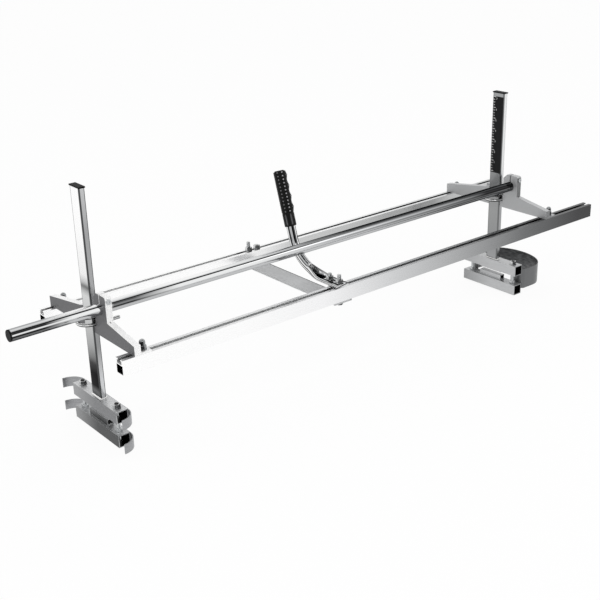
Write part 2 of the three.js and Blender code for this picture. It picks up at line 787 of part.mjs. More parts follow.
// Flat bar under both rails
function centreBrace() {
  const half = brace_width / 2;
  const z1 = -rail_height;
  const z0 = z1 - brace_thickness;
  let solid = block(brace_x - half, brace_x + half, brace_inset, frame_depth - brace_inset, z0, z1);
  const places = braceBoltXs().map((x) => [x, rear_slot_y]);
  places.push([handle_x, front_slot_y], [handle_x, handle_bolt_y]);
  places.forEach(([x, y]) => {
    solid = solid.subtract(uprightRod(hole_radius, x, y, z0 - overrun, z1 + overrun));
  });
  return toMesh('centre_brace', solid, finishes.brace());
}

function gripAxis() {
  return new THREE.Vector3(0, Math.sin(grip_lean), Math.cos(grip_lean));
}

function bendTop() {
  return new THREE.Vector3(handle_x, bend_top_y, bend_top_z);
}

// Depth of the scoop in the top of the handle tube, at a share of its bend
function scoopDepth(t) {
  const into = THREE.MathUtils.smoothstep(t, 0, scoop_peak_share);
  const out = 1 - THREE.MathUtils.smoothstep(t, scoop_peak_share, scoop_end_share);
  return scoop_depth * into * out;
}

// Handle tube: flat on the front rail, scooped where it turns round, then bent up to a straight leaning end
function handleTube() {
  const axis = gripAxis();
  const side = new THREE.Vector3(1, 0, 0);
  const half_flat = foot_flat_thickness / 2;
  const flat_half_width = foot_flat_width / 2;
  const radius = handle_diameter / 2;
  const top = bendTop();
  const foot = new THREE.Vector3(handle_x, foot_flat_end, half_flat);
  const bend = new THREE.CubicBezierCurve3(
    foot,
    foot.clone().add(new THREE.Vector3(0, bend_foot_pull, bend_foot_lift)),
    top.clone().addScaledVector(axis, -bend_top_pull),
    top,
  );
  const rings = [];
  const addRing = (centre, tangent, roundness, scoop) => {
    const up = new THREE.Vector3().crossVectors(side, tangent);
    const width = THREE.MathUtils.lerp(flat_half_width, radius, roundness);
    const height = THREE.MathUtils.lerp(half_flat, radius, roundness);
    const squareness = THREE.MathUtils.lerp(flat_corner_share, 1, roundness);
    const points = ring(centre, side, up, width, height, squareness, handle_round_steps);
    points.forEach((point) => {
      const offset = point.clone().sub(centre);
      const across = offset.dot(side) / (width * scoop_width_share);
      if (offset.dot(up) > 0) point.addScaledVector(up, -scoop * Math.max(1 - across ** 2, 0));
    });
    rings.push(points.reverse());
  };
  const along_y = new THREE.Vector3(0, 1, 0);
  addRing(new THREE.Vector3(handle_x, foot_flat_start, half_flat), along_y, 0, 0);
  for (let i = 0; i <= bend_steps; i += 1) {
    const t = i / bend_steps;
    const roundness = THREE.MathUtils.smoothstep(t, 0, flat_run_share);
    const tangent = i ? bend.getTangent(t) : along_y;
    addRing(bend.getPoint(t), tangent, roundness, scoopDepth(t));
  }
  const tube_end = grip_gap + grip_length - grip_cap - play;
  addRing(top.clone().addScaledVector(axis, tube_end), axis, 1, 0);
  let solid = loft(rings);
  const high = foot_flat_thickness + overrun;
  [front_slot_y, handle_bolt_y].forEach((y) => {
    solid = solid.subtract(uprightRod(hole_radius, handle_x, y, -overrun, high));
  });
  return toMesh('handle_tube', solid, finishes.chrome());
}

// Rubber grip with finger bumps on its right side and a plain collar below
function handleGrip() {
  const axis = gripAxis();
  const side = new THREE.Vector3(1, 0, 0);
  const up = new THREE.Vector3().crossVectors(axis, side);
  const base = bendTop().addScaledVector(axis, grip_gap);
  const radius = grip_diameter / 2;
  const finger_length = grip_length - grip_collar_length;
  const rings = [];
  for (let i = 0; i <= grip_steps; i += 1) {
    const height = (grip_length * i) / grip_steps;
    const place = Math.max(height - grip_collar_length, 0) / finger_length;
    const wave = (1 - Math.cos(2 * Math.PI * grip_fingers * place)) / 2;
    const centre = base.clone().addScaledVector(axis, height);
    const points = Array.from({ length: grip_round_steps }, (_, j) => {
      const angle = (2 * Math.PI * j) / grip_round_steps;
      const reach = radius + grip_bump * wave * Math.max(Math.cos(angle), 0) ** 2;
      return centre
        .clone()
        .addScaledVector(side, reach * Math.cos(angle))
        .addScaledVector(up, reach * Math.sin(angle));
    });
    rings.push(points);
  }
  const bore_radius = handle_diameter / 2 + play;
  const bore_start = base.clone().addScaledVector(axis, -overrun);
  const bore_end = base.clone().addScaledVector(axis, grip_length - grip_cap);
  const bore = loft([
    ring(bore_start, side, up, bore_radius, bore_radius, 1, handle_round_steps),
    ring(bore_end, side, up, bore_radius, bore_radius, 1, handle_round_steps),
  ]);
  return toMesh('handle_grip', loft(rings).subtract(bore), finishes.rubber());
}

// Handle, centre brace and the bolts that hold them on the rails
function handleParts() {
  const under = -rail_height - brace_thickness;
  const [left_x, right_x] = braceBoltXs();
  const top = foot_flat_thickness;
  return [
    centreBrace(),
    handleTube(),
    handleGrip(),
    throughBolt('handle_front_bolt', handle_x, front_slot_y, under, top, handle_bolt_stub_front),
    throughBolt('handle_rear_bolt', handle_x, handle_bolt_y, under, top, handle_bolt_stub_rear),
    throughBolt('brace_left_bolt', left_x, rear_slot_y, under, 0, brace_bolt_stub_left),
    throughBolt('brace_right_bolt', right_x, rear_slot_y, under, 0, brace_bolt_stub_right),
  ];
}

// Everything on one side that belongs to its post and bracket
function sideParts(side, face_x, casting, clamp) {
  const parts = bracketParts(side, face_x, casting());
  parts.push(post(side, face_x), postCap(side, face_x));
  parts.push(...clampParts(side, face_x, clamp));
  return parts;
}

const group = new THREE.Group();
group.name = 'chainsaw_mill';

const parts = [
  rail('front_rail', front_slot_y, [handle_x]),
  rail('rear_rail', rear_slot_y, braceBoltXs()),
  thrustTube(),
  thrustTubeCap(),
  ...handleParts(),
  ...sideParts('left', left_face_x, finishes.dark_casting, finishes.dark_clamp),
  ...sideParts('right', right_face_x, finishes.light_casting, finishes.light_clamp),
  postScale(right_face_x),
  skid('upper_skid', upper_jaw_top),
  skid('lower_skid', lower_jaw_top),
  noseGuard(),
];

// The origin moves to the middle of the mill, level with the lowest bolt heads
const left_end = -tube_overhang - tube_cap_lip;
const layout = new THREE.Group();
layout.name = 'layout';
layout.position.set(-(left_end + rail_length) / 2, -middle_y, dome_height - lower_jaw_bottom);
parts.forEach((mesh) => layout.add(mesh));
group.add(layout);

export default group;
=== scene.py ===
import json
import math

import bmesh
import bpy
from mathutils import Matrix, Vector


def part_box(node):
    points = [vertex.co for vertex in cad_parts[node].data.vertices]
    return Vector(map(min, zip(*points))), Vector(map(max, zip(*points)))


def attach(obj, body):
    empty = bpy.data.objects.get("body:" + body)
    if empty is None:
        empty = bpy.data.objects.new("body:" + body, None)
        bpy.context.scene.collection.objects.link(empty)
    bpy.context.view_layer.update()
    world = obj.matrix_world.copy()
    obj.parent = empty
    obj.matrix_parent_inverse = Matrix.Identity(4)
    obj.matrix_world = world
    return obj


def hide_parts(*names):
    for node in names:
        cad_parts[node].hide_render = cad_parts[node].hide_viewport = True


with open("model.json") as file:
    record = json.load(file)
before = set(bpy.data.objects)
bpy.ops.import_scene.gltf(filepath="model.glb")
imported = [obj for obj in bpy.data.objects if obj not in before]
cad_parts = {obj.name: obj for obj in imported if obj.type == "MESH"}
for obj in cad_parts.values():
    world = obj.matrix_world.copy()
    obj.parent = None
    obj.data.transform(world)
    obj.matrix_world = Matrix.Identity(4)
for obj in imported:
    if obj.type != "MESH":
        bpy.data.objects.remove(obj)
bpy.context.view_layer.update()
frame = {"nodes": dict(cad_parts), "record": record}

# All places are in metres in the frame of the CAD model. MM turns millimetres into metres.
MM = 0.001
INCH = 25.4 * MM
UP = Vector((0, 0, 1))
ALONG = Vector((1, 0, 0))

# Rails, posts, jaws and the long tube, as they stand in the CAD model
RAIL_TOP = 216 * MM
RAIL_Y = 146 * MM
RAIL_SPAN = (-574.5 * MM, 725.5 * MM)
SLOT_LIP = 2.5 * MM
SLOT_DEPTH = 10 * MM
# The painted shade of the slot starts this far above the underside of its lips
SLOT_TONE_RISE = 0.2 * MM
POST_SPAN = (79 * MM, 488 * MM)
POST_CORNER = 2.6 * MM
POST_WALL = 1.8 * MM
JAW_HEIGHT = 25 * MM
# Stretch along Y in which the broad face of a jaw takes on the painted tone of its rear
JAW_REAR_FADE = (-5 * MM, 75 * MM)
CLAMP_BOLT_SPAN = (0.0, 88.5 * MM)
TUBE_SPAN = (-725.5 * MM, 577.5 * MM)
# Distances from the brace's far side between which its tone turns darker
BRACE_DARK_SIDE_FADE = (3.4 * MM, 2.6 * MM)

# Painted shade line down both sides of a post's broad face, by distance from the middle of the face
POST_LINE_FADE = (13.2 * MM, 14.4 * MM)
POST_LINE_END = 16.9 * MM

# Handle tube: a foot pressed flat on the front rail, a bend and a straight leaning top.
# The starts, ends and fades of bend, round part and scoop are shares of the tube's length.
HANDLE_X = -70.5 * MM
HANDLE_LENGTH_CUTS = 120
FOOT_START_Y = -155 * MM
FOOT_END_Y = -96 * MM
FOOT_HALF_WIDTH = 16.5 * MM
FOOT_THICKNESS = 6 * MM
TUBE_RADIUS = 9.5 * MM
BEND_TOP = Vector((HANDLE_X, -2.5 * MM, RAIL_TOP + 64 * MM))
BEND_FOOT_PULL = Vector((0, 46, 6)) * MM
BEND_TOP_PULL = 40 * MM
BEND_START = 0.25
BEND_END = 0.8
ROUND_START = 0.43
LEAN = math.radians(17)
HANDLE_AXIS = Vector((0, math.sin(LEAN), math.cos(LEAN)))
# Side of the tube towards the photograph's camera, from +X
STREAK_MIDDLE_DEGREES = 129
# Attributes of the handle tube's points: how far round it, along it and down its scoop they lie
TUBE_SHARES = ("round_share", "length_share", "scoop_share")
# Share of a round ring's half width that is straight above and below once the ring is pressed quite flat
PRESSED_FLAT_SHARE = 0.75

# Scoop in the foot: a bowl between two rolled rims at shares of the foot's half width, which take on a share of the
# scoop's painted shade
SCOOP_START = 0.2
SCOOP_OPENING = 0.05
SCOOP_END = 0.455
SCOOP_CLOSING = 0.045
SCOOP_FLOOR = 3.4 * MM
SCOOP_RIM = 1.8 * MM
SCOOP_BOWL_SIDE = (0.42, 0.74)
SCOOP_RIM_PLACE = 0.84
SCOOP_RIM_WIDTH = 0.14
SCOOP_RIM_TONE = 0.3

# Rubber grip: heights go up from its lower end, angles go round it from +X
GRIP_GAP = 26 * MM
GRIP_LENGTH = 116 * MM
GRIP_LENGTH_CUTS = 96
GRIP_RADIUS = 12.5 * MM
GRIP_FINGERS = 4
GRIP_BUMP = 2.6 * MM
GRIP_COLLAR = 28 * MM
COLLAR_FADE = 3 * MM
COLLAR_RIBS = 16
COLLAR_RIB_DEPTH = 0.45 * MM
RING_GROOVE_DEPTH = 0.7 * MM
RING_GROOVE_WIDTH = 1.2 * MM
MOUTH_DEPTH = 0.8 * MM
MOUTH_HEIGHT = 1.2 * MM
CROWN_DEPTH = 2.5 * MM
CROWN_HEIGHT = 3 * MM
TOP_GROOVE_DEPTH = 2.2 * MM
TOP_GROOVE_HEIGHT = 4 * MM
TOP_GROOVE_SHARE = 0.3
TOP_GROOVE_ANGLE = math.radians(52)
# Two painted grey highlight streaks down the collar: their angles, width, and where they start and end
HIGHLIGHT_STREAKS_DEGREES = (-156, -102)
HIGHLIGHT_WIDTH_DEGREES = 6
HIGHLIGHT_START = (2 * MM, 5 * MM)
HIGHLIGHT_END = (GRIP_COLLAR - 6 * MM, GRIP_COLLAR)

# Raised dots of the grip. Every fourth column takes a full painted highlight, the others a dull share of it.
DOT_RADIUS = 1.7 * MM
DOT_RISE = 1.1 * MM
DOT_ROWS_PER_FINGER = 3
DOT_COLUMNS = 8
DOT_FIRST_DEGREES = -102
DOT_HIGHLIGHT_EVERY = 4
DOT_DULL_SHARE = 0.35

# Screw threads and weld beads
THREAD_PITCH = 1.25 * MM
THREAD_DEPTH = 0.18 * MM
THREAD_FLANK = 0.42 * THREAD_PITCH
THREAD_STEPS_PER_TURN = 16
THREAD_PLAIN_TIP = 0.5 * MM
BOLT_RADIUS = 4 * MM
ROD_RADIUS = 3.5 * MM
FRAME_THREADS = (("brace_left_bolt", 11 * MM), ("handle_front_bolt", 9 * MM), ("handle_rear_bolt", 4.5 * MM))
CLAMP_THREAD_DROP = 11 * MM
CLAMP_THREAD_LENGTH = 15 * MM
BEAD_RADIUS = 2.1 * MM
BEAD_STEP = 1.7 * MM
BEAD_FLATNESS = 0.62

# Print of the scale, with marks thicker than real ones, which the picture would not show
INK_THICKNESS = 0.06 * MM
INK_LIFT = 0.02 * MM
INCH_MARK = 8 * MM
QUARTER_MARK = 5 * MM
MARK_HEIGHT = 1.3 * MM
SCALE_SIDE_GAP = 1 * MM
SCALE_FOOT_GAP = 4 * MM
NUMBER_SIZE = 7 * MM
NUMBER_IN = 10 * MM
NUMBER_DROP = 4.5 * MM

# Edge radius in millimetres by kind of node. The longest kind that a node's name ends with counts.
EDGE_RADII = {
    "rail": 0.5, "brace": 0.6, "thrust_tube": 0.4, "thrust_tube_cap": 0.8, "bracket": 0.8, "pinch_bolt": 0.5,
    "set_screw": 0.3, "rail_bolt": 0.6, "loop": 0.5, "loop_nut": 0.5, "post_cap": 0.9, "jaw": 0.9,
    "clamp_bolt": 0.5, "clamp_nut": 0.5, "skid": 0.4, "nose_guard": 0.5, "post_scale": 0.1, "bolt": 0.5,
}
REBUILT = ("handle_tube", "handle_grip", "left_post", "right_post")

# Camera, fitted to the photograph: it looks along +Y, turned to the right by the yaw and down by the pitch
CAMERA_PLACE = Vector((-1369.15, -1651.57, 1008.11)) * MM
CAMERA_LENS = 64.27
CAMERA_YAW = math.radians(38.498)
CAMERA_PITCH = math.radians(22.442)
CAMERA_ROLL = math.radians(-1.556)

# Studio: lamps with place, size in metres and power in watts; share of the floor's white that is its own glow
LAMPS = (("key_softbox", (-1.4, -2.6, 3.0), 2.2, 34), ("fill_softbox", (2.6, -1.8, 2.2), 1.8, 12))
LAMP_TARGET = Vector((0, 0, 0.2))
FLOOR_SIZE = 40
FLOOR_GLOW = 0.93
ROOM_STRENGTH = 0.95
# Dark batten over the front of the mill and dark card before it, which bright metal mirrors
BATTEN_STOPS = [(0.585, "#ffffff"), (0.6, "#151515"), (0.69, "#151515"), (0.708, "#ffffff")]
CARD_HEADING = (-0.138, -0.983, 0.12)
CARD_STOPS = [(0.92, "#ffffff"), (0.935, "#0c0c0c")]

# Tones along the rails, the long tube and the nose guard, from their left ends to their right ends: painted
# reflections and painted shade, bright to the left and dark to the right, and painted shade in the rails' slots
FRONT_RAIL_STOPS = [
    (0.0, "#ffffff"), (0.2, "#fdfdfd"), (0.35, "#f3f3f4"), (0.5, "#cdcecf"), (0.65, "#a6a7a8"), (0.81, "#6f7071"),
    (0.96, "#454546"), (1.0, "#424243"),
]
REAR_RAIL_STOPS = [
    (0.36, "#ffffff"), (0.46, "#cdcece"), (0.62, "#bdbebe"), (0.7, "#acadad"), (0.77, "#b6b7b7"), (0.81, "#999a9a"),
    (0.86, "#bcbdbd"), (1.0, "#c6c7c7"),
]
REAR_TOP_STOPS = [(0.3, "#ffffff"), (0.5, "#fbfbfb"), (0.65, "#eeefef"), (0.81, "#dadbdb"), (1.0, "#c6c7c7")]
FRONT_SLOT_STOPS = [(0.0, "#e4e5e5"), (0.3, "#e0e1e1"), (0.6, "#b0b1b2"), (0.8, "#868788"), (1.0, "#505152")]
REAR_SLOT_STOPS = [(0.0, "#fafafa"), (0.4, "#e4e5e5"), (0.7, "#8c8d8e"), (1.0, "#464748")]
TUBE_TOP_STOPS = [
    (0.0, "#f8f8f8"), (0.3, "#fafafa"), (0.37, "#e9eaea"), (0.44, "#d0d1d2"), (0.5, "#8c8d8e"), (0.59, "#4c4d4e"),
    (0.8, "#444546"), (1.0, "#606162"),
]
TUBE_FRONT_STOPS = [
    (0.0, "#c8c9ca"), (0.08, "#f2f3f3"), (0.4, "#eeefef"), (0.5, "#cccdce"), (0.59, "#a2a3a4"), (0.7, "#868788"),
    (0.81, "#727374"), (0.87, "#5a5b5c"), (0.91, "#2a2a2b"), (1.0, "#262627"),
]
TUBE_UNDER_STOPS = [(0.0, "#c2c3c4"), (0.62, "#c4c5c6"), (0.76, "#a2a3a4"), (0.84, "#7b7c7d")]
GUARD_STOPS = [(0.55, "#6c6d6e"), (0.8, "#5a5b5c"), (0.95, "#2a2a2b")]

# Painted reflections and painted shade up the broad faces and the narrow sides of the posts, from the jaws to the caps
LEFT_POST_STOPS = [
    (0.0, "#606162"), (0.03, "#58595a"), (0.055, "#222223"), (0.12, "#1e1e1f"), (0.17, "#3c3c3d"), (0.213, "#787979"),
    (0.262, "#a0a1a1"), (0.33, "#b6b7b7"), (0.5, "#d0d1d1"), (0.52, "#b4b5b5"), (0.545, "#5e5f5f"), (0.566, "#bfc0c0"),
    (0.6, "#eeeeee"), (0.68, "#f4f4f4"), (0.8, "#fdfdfd"), (1.0, "#ffffff"),
]
LEFT_POST_EDGE_STOPS = [
    (0.0, "#d2d3d4"), (0.1, "#ccced0"), (0.18, "#b4b5b6"), (0.26, "#929394"), (0.33, "#929394"), (0.5, "#a8a9aa"),
    (0.8, "#a2a3a4"), (1.0, "#c2c3c4"),
]
RIGHT_POST_STOPS = [(0.0, "#9c9d9e"), (0.12, "#8f9091"), (0.3, "#989999"), (0.5, "#8c8d8e"), (1.0, "#a0a1a2")]
RIGHT_POST_EDGE_STOPS = [(0.3, "#9d9e9f"), (0.42, "#c2c3c4"), (0.6, "#dfe0e0"), (1.0, "#e6e7e7")]
# Gain of polished steel at glancing angles: less on its painted dark tones, which would shine out otherwise
POST_GLANCE_STOPS = [(0.0, "#bcbcbc"), (0.14, "#ffffff")]
# Tones up the clamp bolt, darker at its upper end
CLAMP_BOLT_STOPS = [(0.0, "#c4c6c7"), (0.9, "#c9cbcc"), (0.93, "#1d1d1e"), (1.0, "#161617")]

# Painted reflection streaks round the handle tube, from the side towards the camera to the far side, and painted shade
# down into its scoop
STRAIGHT_STREAKS = [
    (0.12, "#b4b5b6"), (0.15, "#48494a"), (0.24, "#48494a"), (0.27, "#f0f1f1"), (0.36, "#f6f7f7"), (0.385, "#161617"),
    (0.52, "#0c0c0d"), (0.55, "#f6f7f7"), (0.645, "#f6f7f7"), (0.67, "#3a3a3b"), (0.77, "#3a3a3b"), (0.8, "#b4b5b6"),
    (1.0, "#c4c5c6"),
]
BENT_STREAKS = [
    (0.04, "#e9eaea"), (0.06, "#2b2b2c"), (0.1, "#3b3b3c"), (0.12, "#c9caca"), (0.17, "#f3f3f3"), (0.2, "#f3f3f3"),
    (0.22, "#2b2b2c"), (0.27, "#303031"), (0.29, "#dcdddd"), (0.36, "#f4f4f5"), (0.4, "#4a4a4b"), (0.5, "#3a3a3b"),
    (0.62, "#9b9c9d"), (0.8, "#e0e1e1"),
]
# Share of the handle tube's length where the bent streaks turn into the straight ones
STRAIGHT_FADE = (0.66, 0.72)
SCOOP_TONES = [(0.45, "#ffffff"), (0.75, "#7a7b7c"), (1.0, "#4c4c4d")]

# Painted reflection streaks round the long tube and the bent rods, from underside to top, and the stretches where the
# tube has them; the tube's shade streaks are a painted shadow beside the left bracket
ROD_STREAKS = [
    (0.42, "#1e1e1f"), (0.5, "#e4e5e5"), (0.7, "#f8f8f8"), (0.76, "#3c3c3d"), (0.84, "#3c3c3d"), (0.9, "#e4e5e5"),
    (1.0, "#f8f8f8"),
]
TUBE_LINE = [(0.785, "#ffffff"), (0.815, "#3c3c3d"), (0.865, "#3c3c3d"), (0.9, "#c8c9ca"), (0.94, "#ffffff")]
TUBE_LINE_PLACE = [(0.42, "#ffffff"), (0.56, "#000000")]
TUBE_END_STREAKS = [
    (0.0, "#5a5b5c"), (0.38, "#6a6b6c"), (0.42, "#1c1c1d"), (0.53, "#1c1c1d"), (0.58, "#e4e5e5"), (0.65, "#f4f5f5"),
    (0.69, "#2c2c2d"), (0.79, "#2c2c2d"), (0.84, "#5c5d5e"), (0.9, "#b4b5b6"), (0.95, "#e4e5e5"), (1.0, "#b4b5b6"),
]
TUBE_END_PLACE = [(0.05, "#ffffff"), (0.09, "#000000")]
TUBE_SHADE_STREAKS = [
    (0.0, "#c8c9ca"), (0.43, "#b8b9ba"), (0.48, "#3a3a3b"), (0.57, "#2a2a2b"), (0.61, "#7c7d7e"), (0.7, "#808182"),
    (0.75, "#4c4d4e"), (0.83, "#565758"), (0.87, "#868788"), (0.92, "#d4d5d6"), (1.0, "#f8f8f8"),
]
TUBE_SHADE_PLACE = [(0.147, "#000000"), (0.15, "#ffffff"), (0.185, "#ffffff"), (0.26, "#000000")]

# How far a surface faces up or along X where its painted light and shade turns to that of the top or the broad face
UPWARD = (0.3, 0.6)
RAIL_UPWARD = (0.5, 0.9)
SIDEWAYS = (0.6, 0.8)
TUBE_TOP_FACING = (0.74, 0.86)
TUBE_UNDER_FACING = (0.2, 0.0)
DOWN_TO_UP = (-1.0, 1.0)
# How far a wall's place lies before the middle line of a hollow, seen the way the wall faces
HOLLOW_FADE = (-1 * MM, -2 * MM)
# Where a surface is a rounded corner, by how far it faces along X; there it takes a painted dark shade
CORNER_STOPS = [(0.1, "#000000"), (0.2, "#ffffff"), (0.96, "#ffffff"), (0.995, "#000000")]
# Painted light and shade of each jaw: tones of its broad face, the rear end of that face, narrow end and top
JAW_TONES = {
    "left_upper_jaw": (("#727375", "#858688"), "#9c9d9e", ("#b4b5b6", "#cccdce"), ("#c2c3c4", "#d8d9da")),
    "left_lower_jaw": (("#363738", "#48494a"), "#8c8d8e", ("#9a9b9c", "#b4b5b6"), ("#aeafb0", "#c2c3c4")),
    "right_upper_jaw": (("#b4b5b6", "#c4c5c6"), "#acadae", ("#7d7e7f", "#97989a"), ("#b6b7b8", "#c9cacb")),
    "right_lower_jaw": (("#b5b6b7", "#c3c4c5"), "#9a9b9c", ("#7d7e7f", "#97989a"), ("#b6b7b8", "#c9cacb")),
}
# Painted light and shade on a nut's flats, by how far they face the shaded side
CAP_NUT_HEADING = (-0.5, -0.86, 0.0)
CAP_NUT_STOPS = [(0.0, "#c9cbcc"), (0.5, "#a4a6a7"), (0.86, "#8d8f90"), (0.93, "#2c2d2e")]
SHADED_NUT_HEADING = (0.3, -0.95, 0.0)
SHADED_NUT_STOPS = [(0.0, "#f4f5f5"), (0.35, "#c2c4c5"), (0.75, "#2c2d2e")]

body_of_node = {
    node: body for body, members in frame["record"]["behaviour"]["bodies"].items() for node in members
}
slot_of_node = {part["node"]: part["material_slot"] for part in frame["record"]["subparts"]}


def colour(code):
    """Linear colour of an sRGB hex code."""
    parts = [int(code[i:i + 2], 16) / 255 for i in (1, 3, 5)]
    return [p / 12.92 if p <= 0.04045 else ((p + 0.055) / 1.055) ** 2.4 for p in parts] + [1.0]


def add(tree, kind, settings=None, links=None):
    """Adds one node with its settings and its incoming links.

    Of the settings, stops are the tones of a ramp and span is where a map range starts and ends.
    A whole node as the source of a link stands for its first output.
    """
    made = tree.nodes.new("ShaderNode" + kind)
    for key, value in (settings or {}).items():
        if key == "stops":
            ramp = made.color_ramp
            while len(ramp.elements) < len(value):
                ramp.elements.new(0.5)
            for element, (position, tone) in zip(ramp.elements, value):
                element.position = position
                element.color = colour(tone)
        elif key == "span":
            made.inputs["From Min"].default_value, made.inputs["From Max"].default_value = value
        elif isinstance(key, int) or key in made.inputs:
            made.inputs[key].default_value = value
        else:
            setattr(made, key, value)
    for key, source in (links or {}).items():
        output = source.outputs[0] if isinstance(source, bpy.types.Node) else source
        tree.links.new(output, made.inputs[key])
    return made


def new_finish(name, settings, cell, height, rough):
    """A material with its shader's own sockets set and its surface grain.

    The grain is noise with cells of a real size in metres along X, Y and Z, as bump and as roughness.
    """
    made = bpy.data.materials.new(name)
    made.use_nodes = True
    tree = made.node_tree
    shader = tree.nodes["Principled BSDF"]
    for key, value in settings.items():
        shader.inputs[key].default_value = value
    place = add(tree, "TexCoord")
    sized = add(tree, "Mapping", {"Scale": [1 / side for side in cell]}, {"Vector": place.outputs["Object"]})
    noise = add(tree, "TexNoise", {"Scale": 1.0}, {"Vector": sized})
    bump = add(tree, "Bump", {"Strength": 0.6, "Distance": height}, {"Height": noise})
    tree.links.new(bump.outputs["Normal"], shader.inputs["Normal"])
    spread = add(tree, "MapRange", {"To Min": rough[0], "To Max": rough[1]}, {"Value": noise})
    tree.links.new(spread.outputs["Result"], shader.inputs["Roughness"])
    return made, tree, noise


def toned(made, tone, *sockets):
    """Links a tone to sockets of a material's shader, to its base colour if none is named."""
    shader = made.node_tree.nodes["Principled BSDF"]
    for socket in sockets or ("Base Color",):
        made.node_tree.links.new(tone.outputs["Color"], shader.inputs[socket])
    return made


def place_parts(tree):
    """X, Y and Z of the shaded point."""
    place = add(tree, "TexCoord")
    return add(tree, "SeparateXYZ", {}, {"Vector": place.outputs["Object"]}).outputs


def facing_parts(tree):
    """X, Y and Z of the way that the surface faces."""
    geometry = add(tree, "NewGeometry")
    return add(tree, "SeparateXYZ", {}, {"Vector": geometry.outputs["Normal"]}).outputs


def grain_tone(tree, noise, dark, light):
    """Tone that follows the grain between two shades."""
    return add(tree, "ValToRGB", {"stops": [(0.3, dark), (0.7, light)]}, {"Fac": noise})


def tone_along(tree, axis, span, noise, share, stops):
    """Tone that changes along one axis between two places, broken up a little by the grain."""
    along = add(tree, "MapRange", {"span": span}, {"Value": place_parts(tree)[axis]})
    shift = add(tree, "Math", {"operation": "MULTIPLY_ADD", 1: share, 2: -share / 2}, {0: noise})
    mixed = add(tree, "Math", {"operation": "ADD"}, {0: along, 1: shift})
    return add(tree, "ValToRGB", {"stops": stops}, {"Fac": mixed})


def by_facing(tree, front_tone, face_tone, top_tone=None, corner_tone=None):
    """Paints light and shade by facing: a tone for faces across X, one for front faces, one for top faces and one for
    the corners between.
    """
    parts = facing_parts(tree)
    across = add(tree, "Math", {"operation": "ABSOLUTE"}, {0: parts["X"]})
    if top_tone is not None:
        upward = add(tree, "MapRange", {"span": UPWARD}, {"Value": parts["Z"]})
        front_tone = add(tree, "MixRGB", {}, {"Fac": upward, "Color1": front_tone, "Color2": top_tone})
    step = add(tree, "MapRange", {"span": SIDEWAYS}, {"Value": across})
    mix = add(tree, "MixRGB", {}, {"Fac": step, "Color1": front_tone, "Color2": face_tone})
    if corner_tone is None:
        return mix
    on_corner = add(tree, "ValToRGB", {"stops": CORNER_STOPS}, {"Fac": across})
    return add(tree, "MixRGB", {"Color2": colour(corner_tone)}, {"Fac": on_corner, "Color1": mix})


def in_hollow(tree, middle, keep, below=None):
    """Mask for painted shade: 1 on the walls that face the middle line of a hollow, 0 elsewhere; keep is 0 along the
    hollow, 1 across it.
    """
    place = add(tree, "TexCoord")
    geometry = add(tree, "NewGeometry")
    away = add(tree, "VectorMath", {"operation": "SUBTRACT", 1: middle}, {0: place.outputs["Object"]})
    flat = add(tree, "VectorMath", {"operation": "MULTIPLY", 1: keep}, {0: away})
    facing = add(tree, "VectorMath", {"operation": "DOT_PRODUCT"}, {0: flat, 1: geometry.outputs["Normal"]})
    inside = add(tree, "MapRange", {"span": HOLLOW_FADE}, {"Value": facing.outputs["Value"]})
    if below is None:
        return inside
    deep = add(tree, "Math", {"operation": "LESS_THAN", 1: below}, {0: place_parts(tree)["Z"]})
    return add(tree, "Math", {"operation": "MULTIPLY"}, {0: inside, 1: deep})


def drawn_aluminium(name, stops, top_stops, slot_stops, rail_y):
    """Drawn aluminium: fine lines along the rail, painted reflections bright at its left end and duller to the right,
    and painted shade inside.
    """
    made, tree, noise = new_finish(name, {"Metallic": 1.0}, (60 * MM, 0.7 * MM, 0.7 * MM), 0.02 * MM, (0.2, 0.32))
    front, top, slot = [
        tone_along(tree, "X", RAIL_SPAN, noise, 0.04, tones) for tones in (stops, top_stops, slot_stops)
    ]
    # Painted light: faces that look up take the top's own tones
    upward = add(tree, "MapRange", {"span": RAIL_UPWARD}, {"Value": facing_parts(tree)["Z"]})
    tone = add(tree, "MixRGB", {}, {"Fac": upward, "Color1": front, "Color2": top})
    middle = (0, rail_y, RAIL_TOP)
    # Painted shade on the walls of the slot, and near black painted shade in the cell below it
    in_slot = in_hollow(tree, middle, (0, 1, 1), RAIL_TOP - SLOT_LIP + SLOT_TONE_RISE)
    tone = add(tree, "MixRGB", {}, {"Fac": in_slot, "Color1": tone, "Color2": slot})
    in_cell = in_hollow(tree, middle, (0, 1, 1), RAIL_TOP - SLOT_DEPTH)
    tone = add(tree, "MixRGB", {"Color2": colour("#0c0c0d")}, {"Fac": in_cell, "Color1": tone})
    return toned(made, tone)


def cast_plate(name, face, front, top):
    """Cast aluminium plate: matt grey blasted faces with a fine grit, and painted light and shade that give each
    facing its own tone.
    """
    made, tree, noise = new_finish(name, {"Metallic": 0.55}, [0.9 * MM] * 3, 0.05 * MM, (0.42, 0.6))
    tone = by_facing(tree, *[grain_tone(tree, noise, *pair) for pair in (front, face, top)])
    return toned(made, tone)


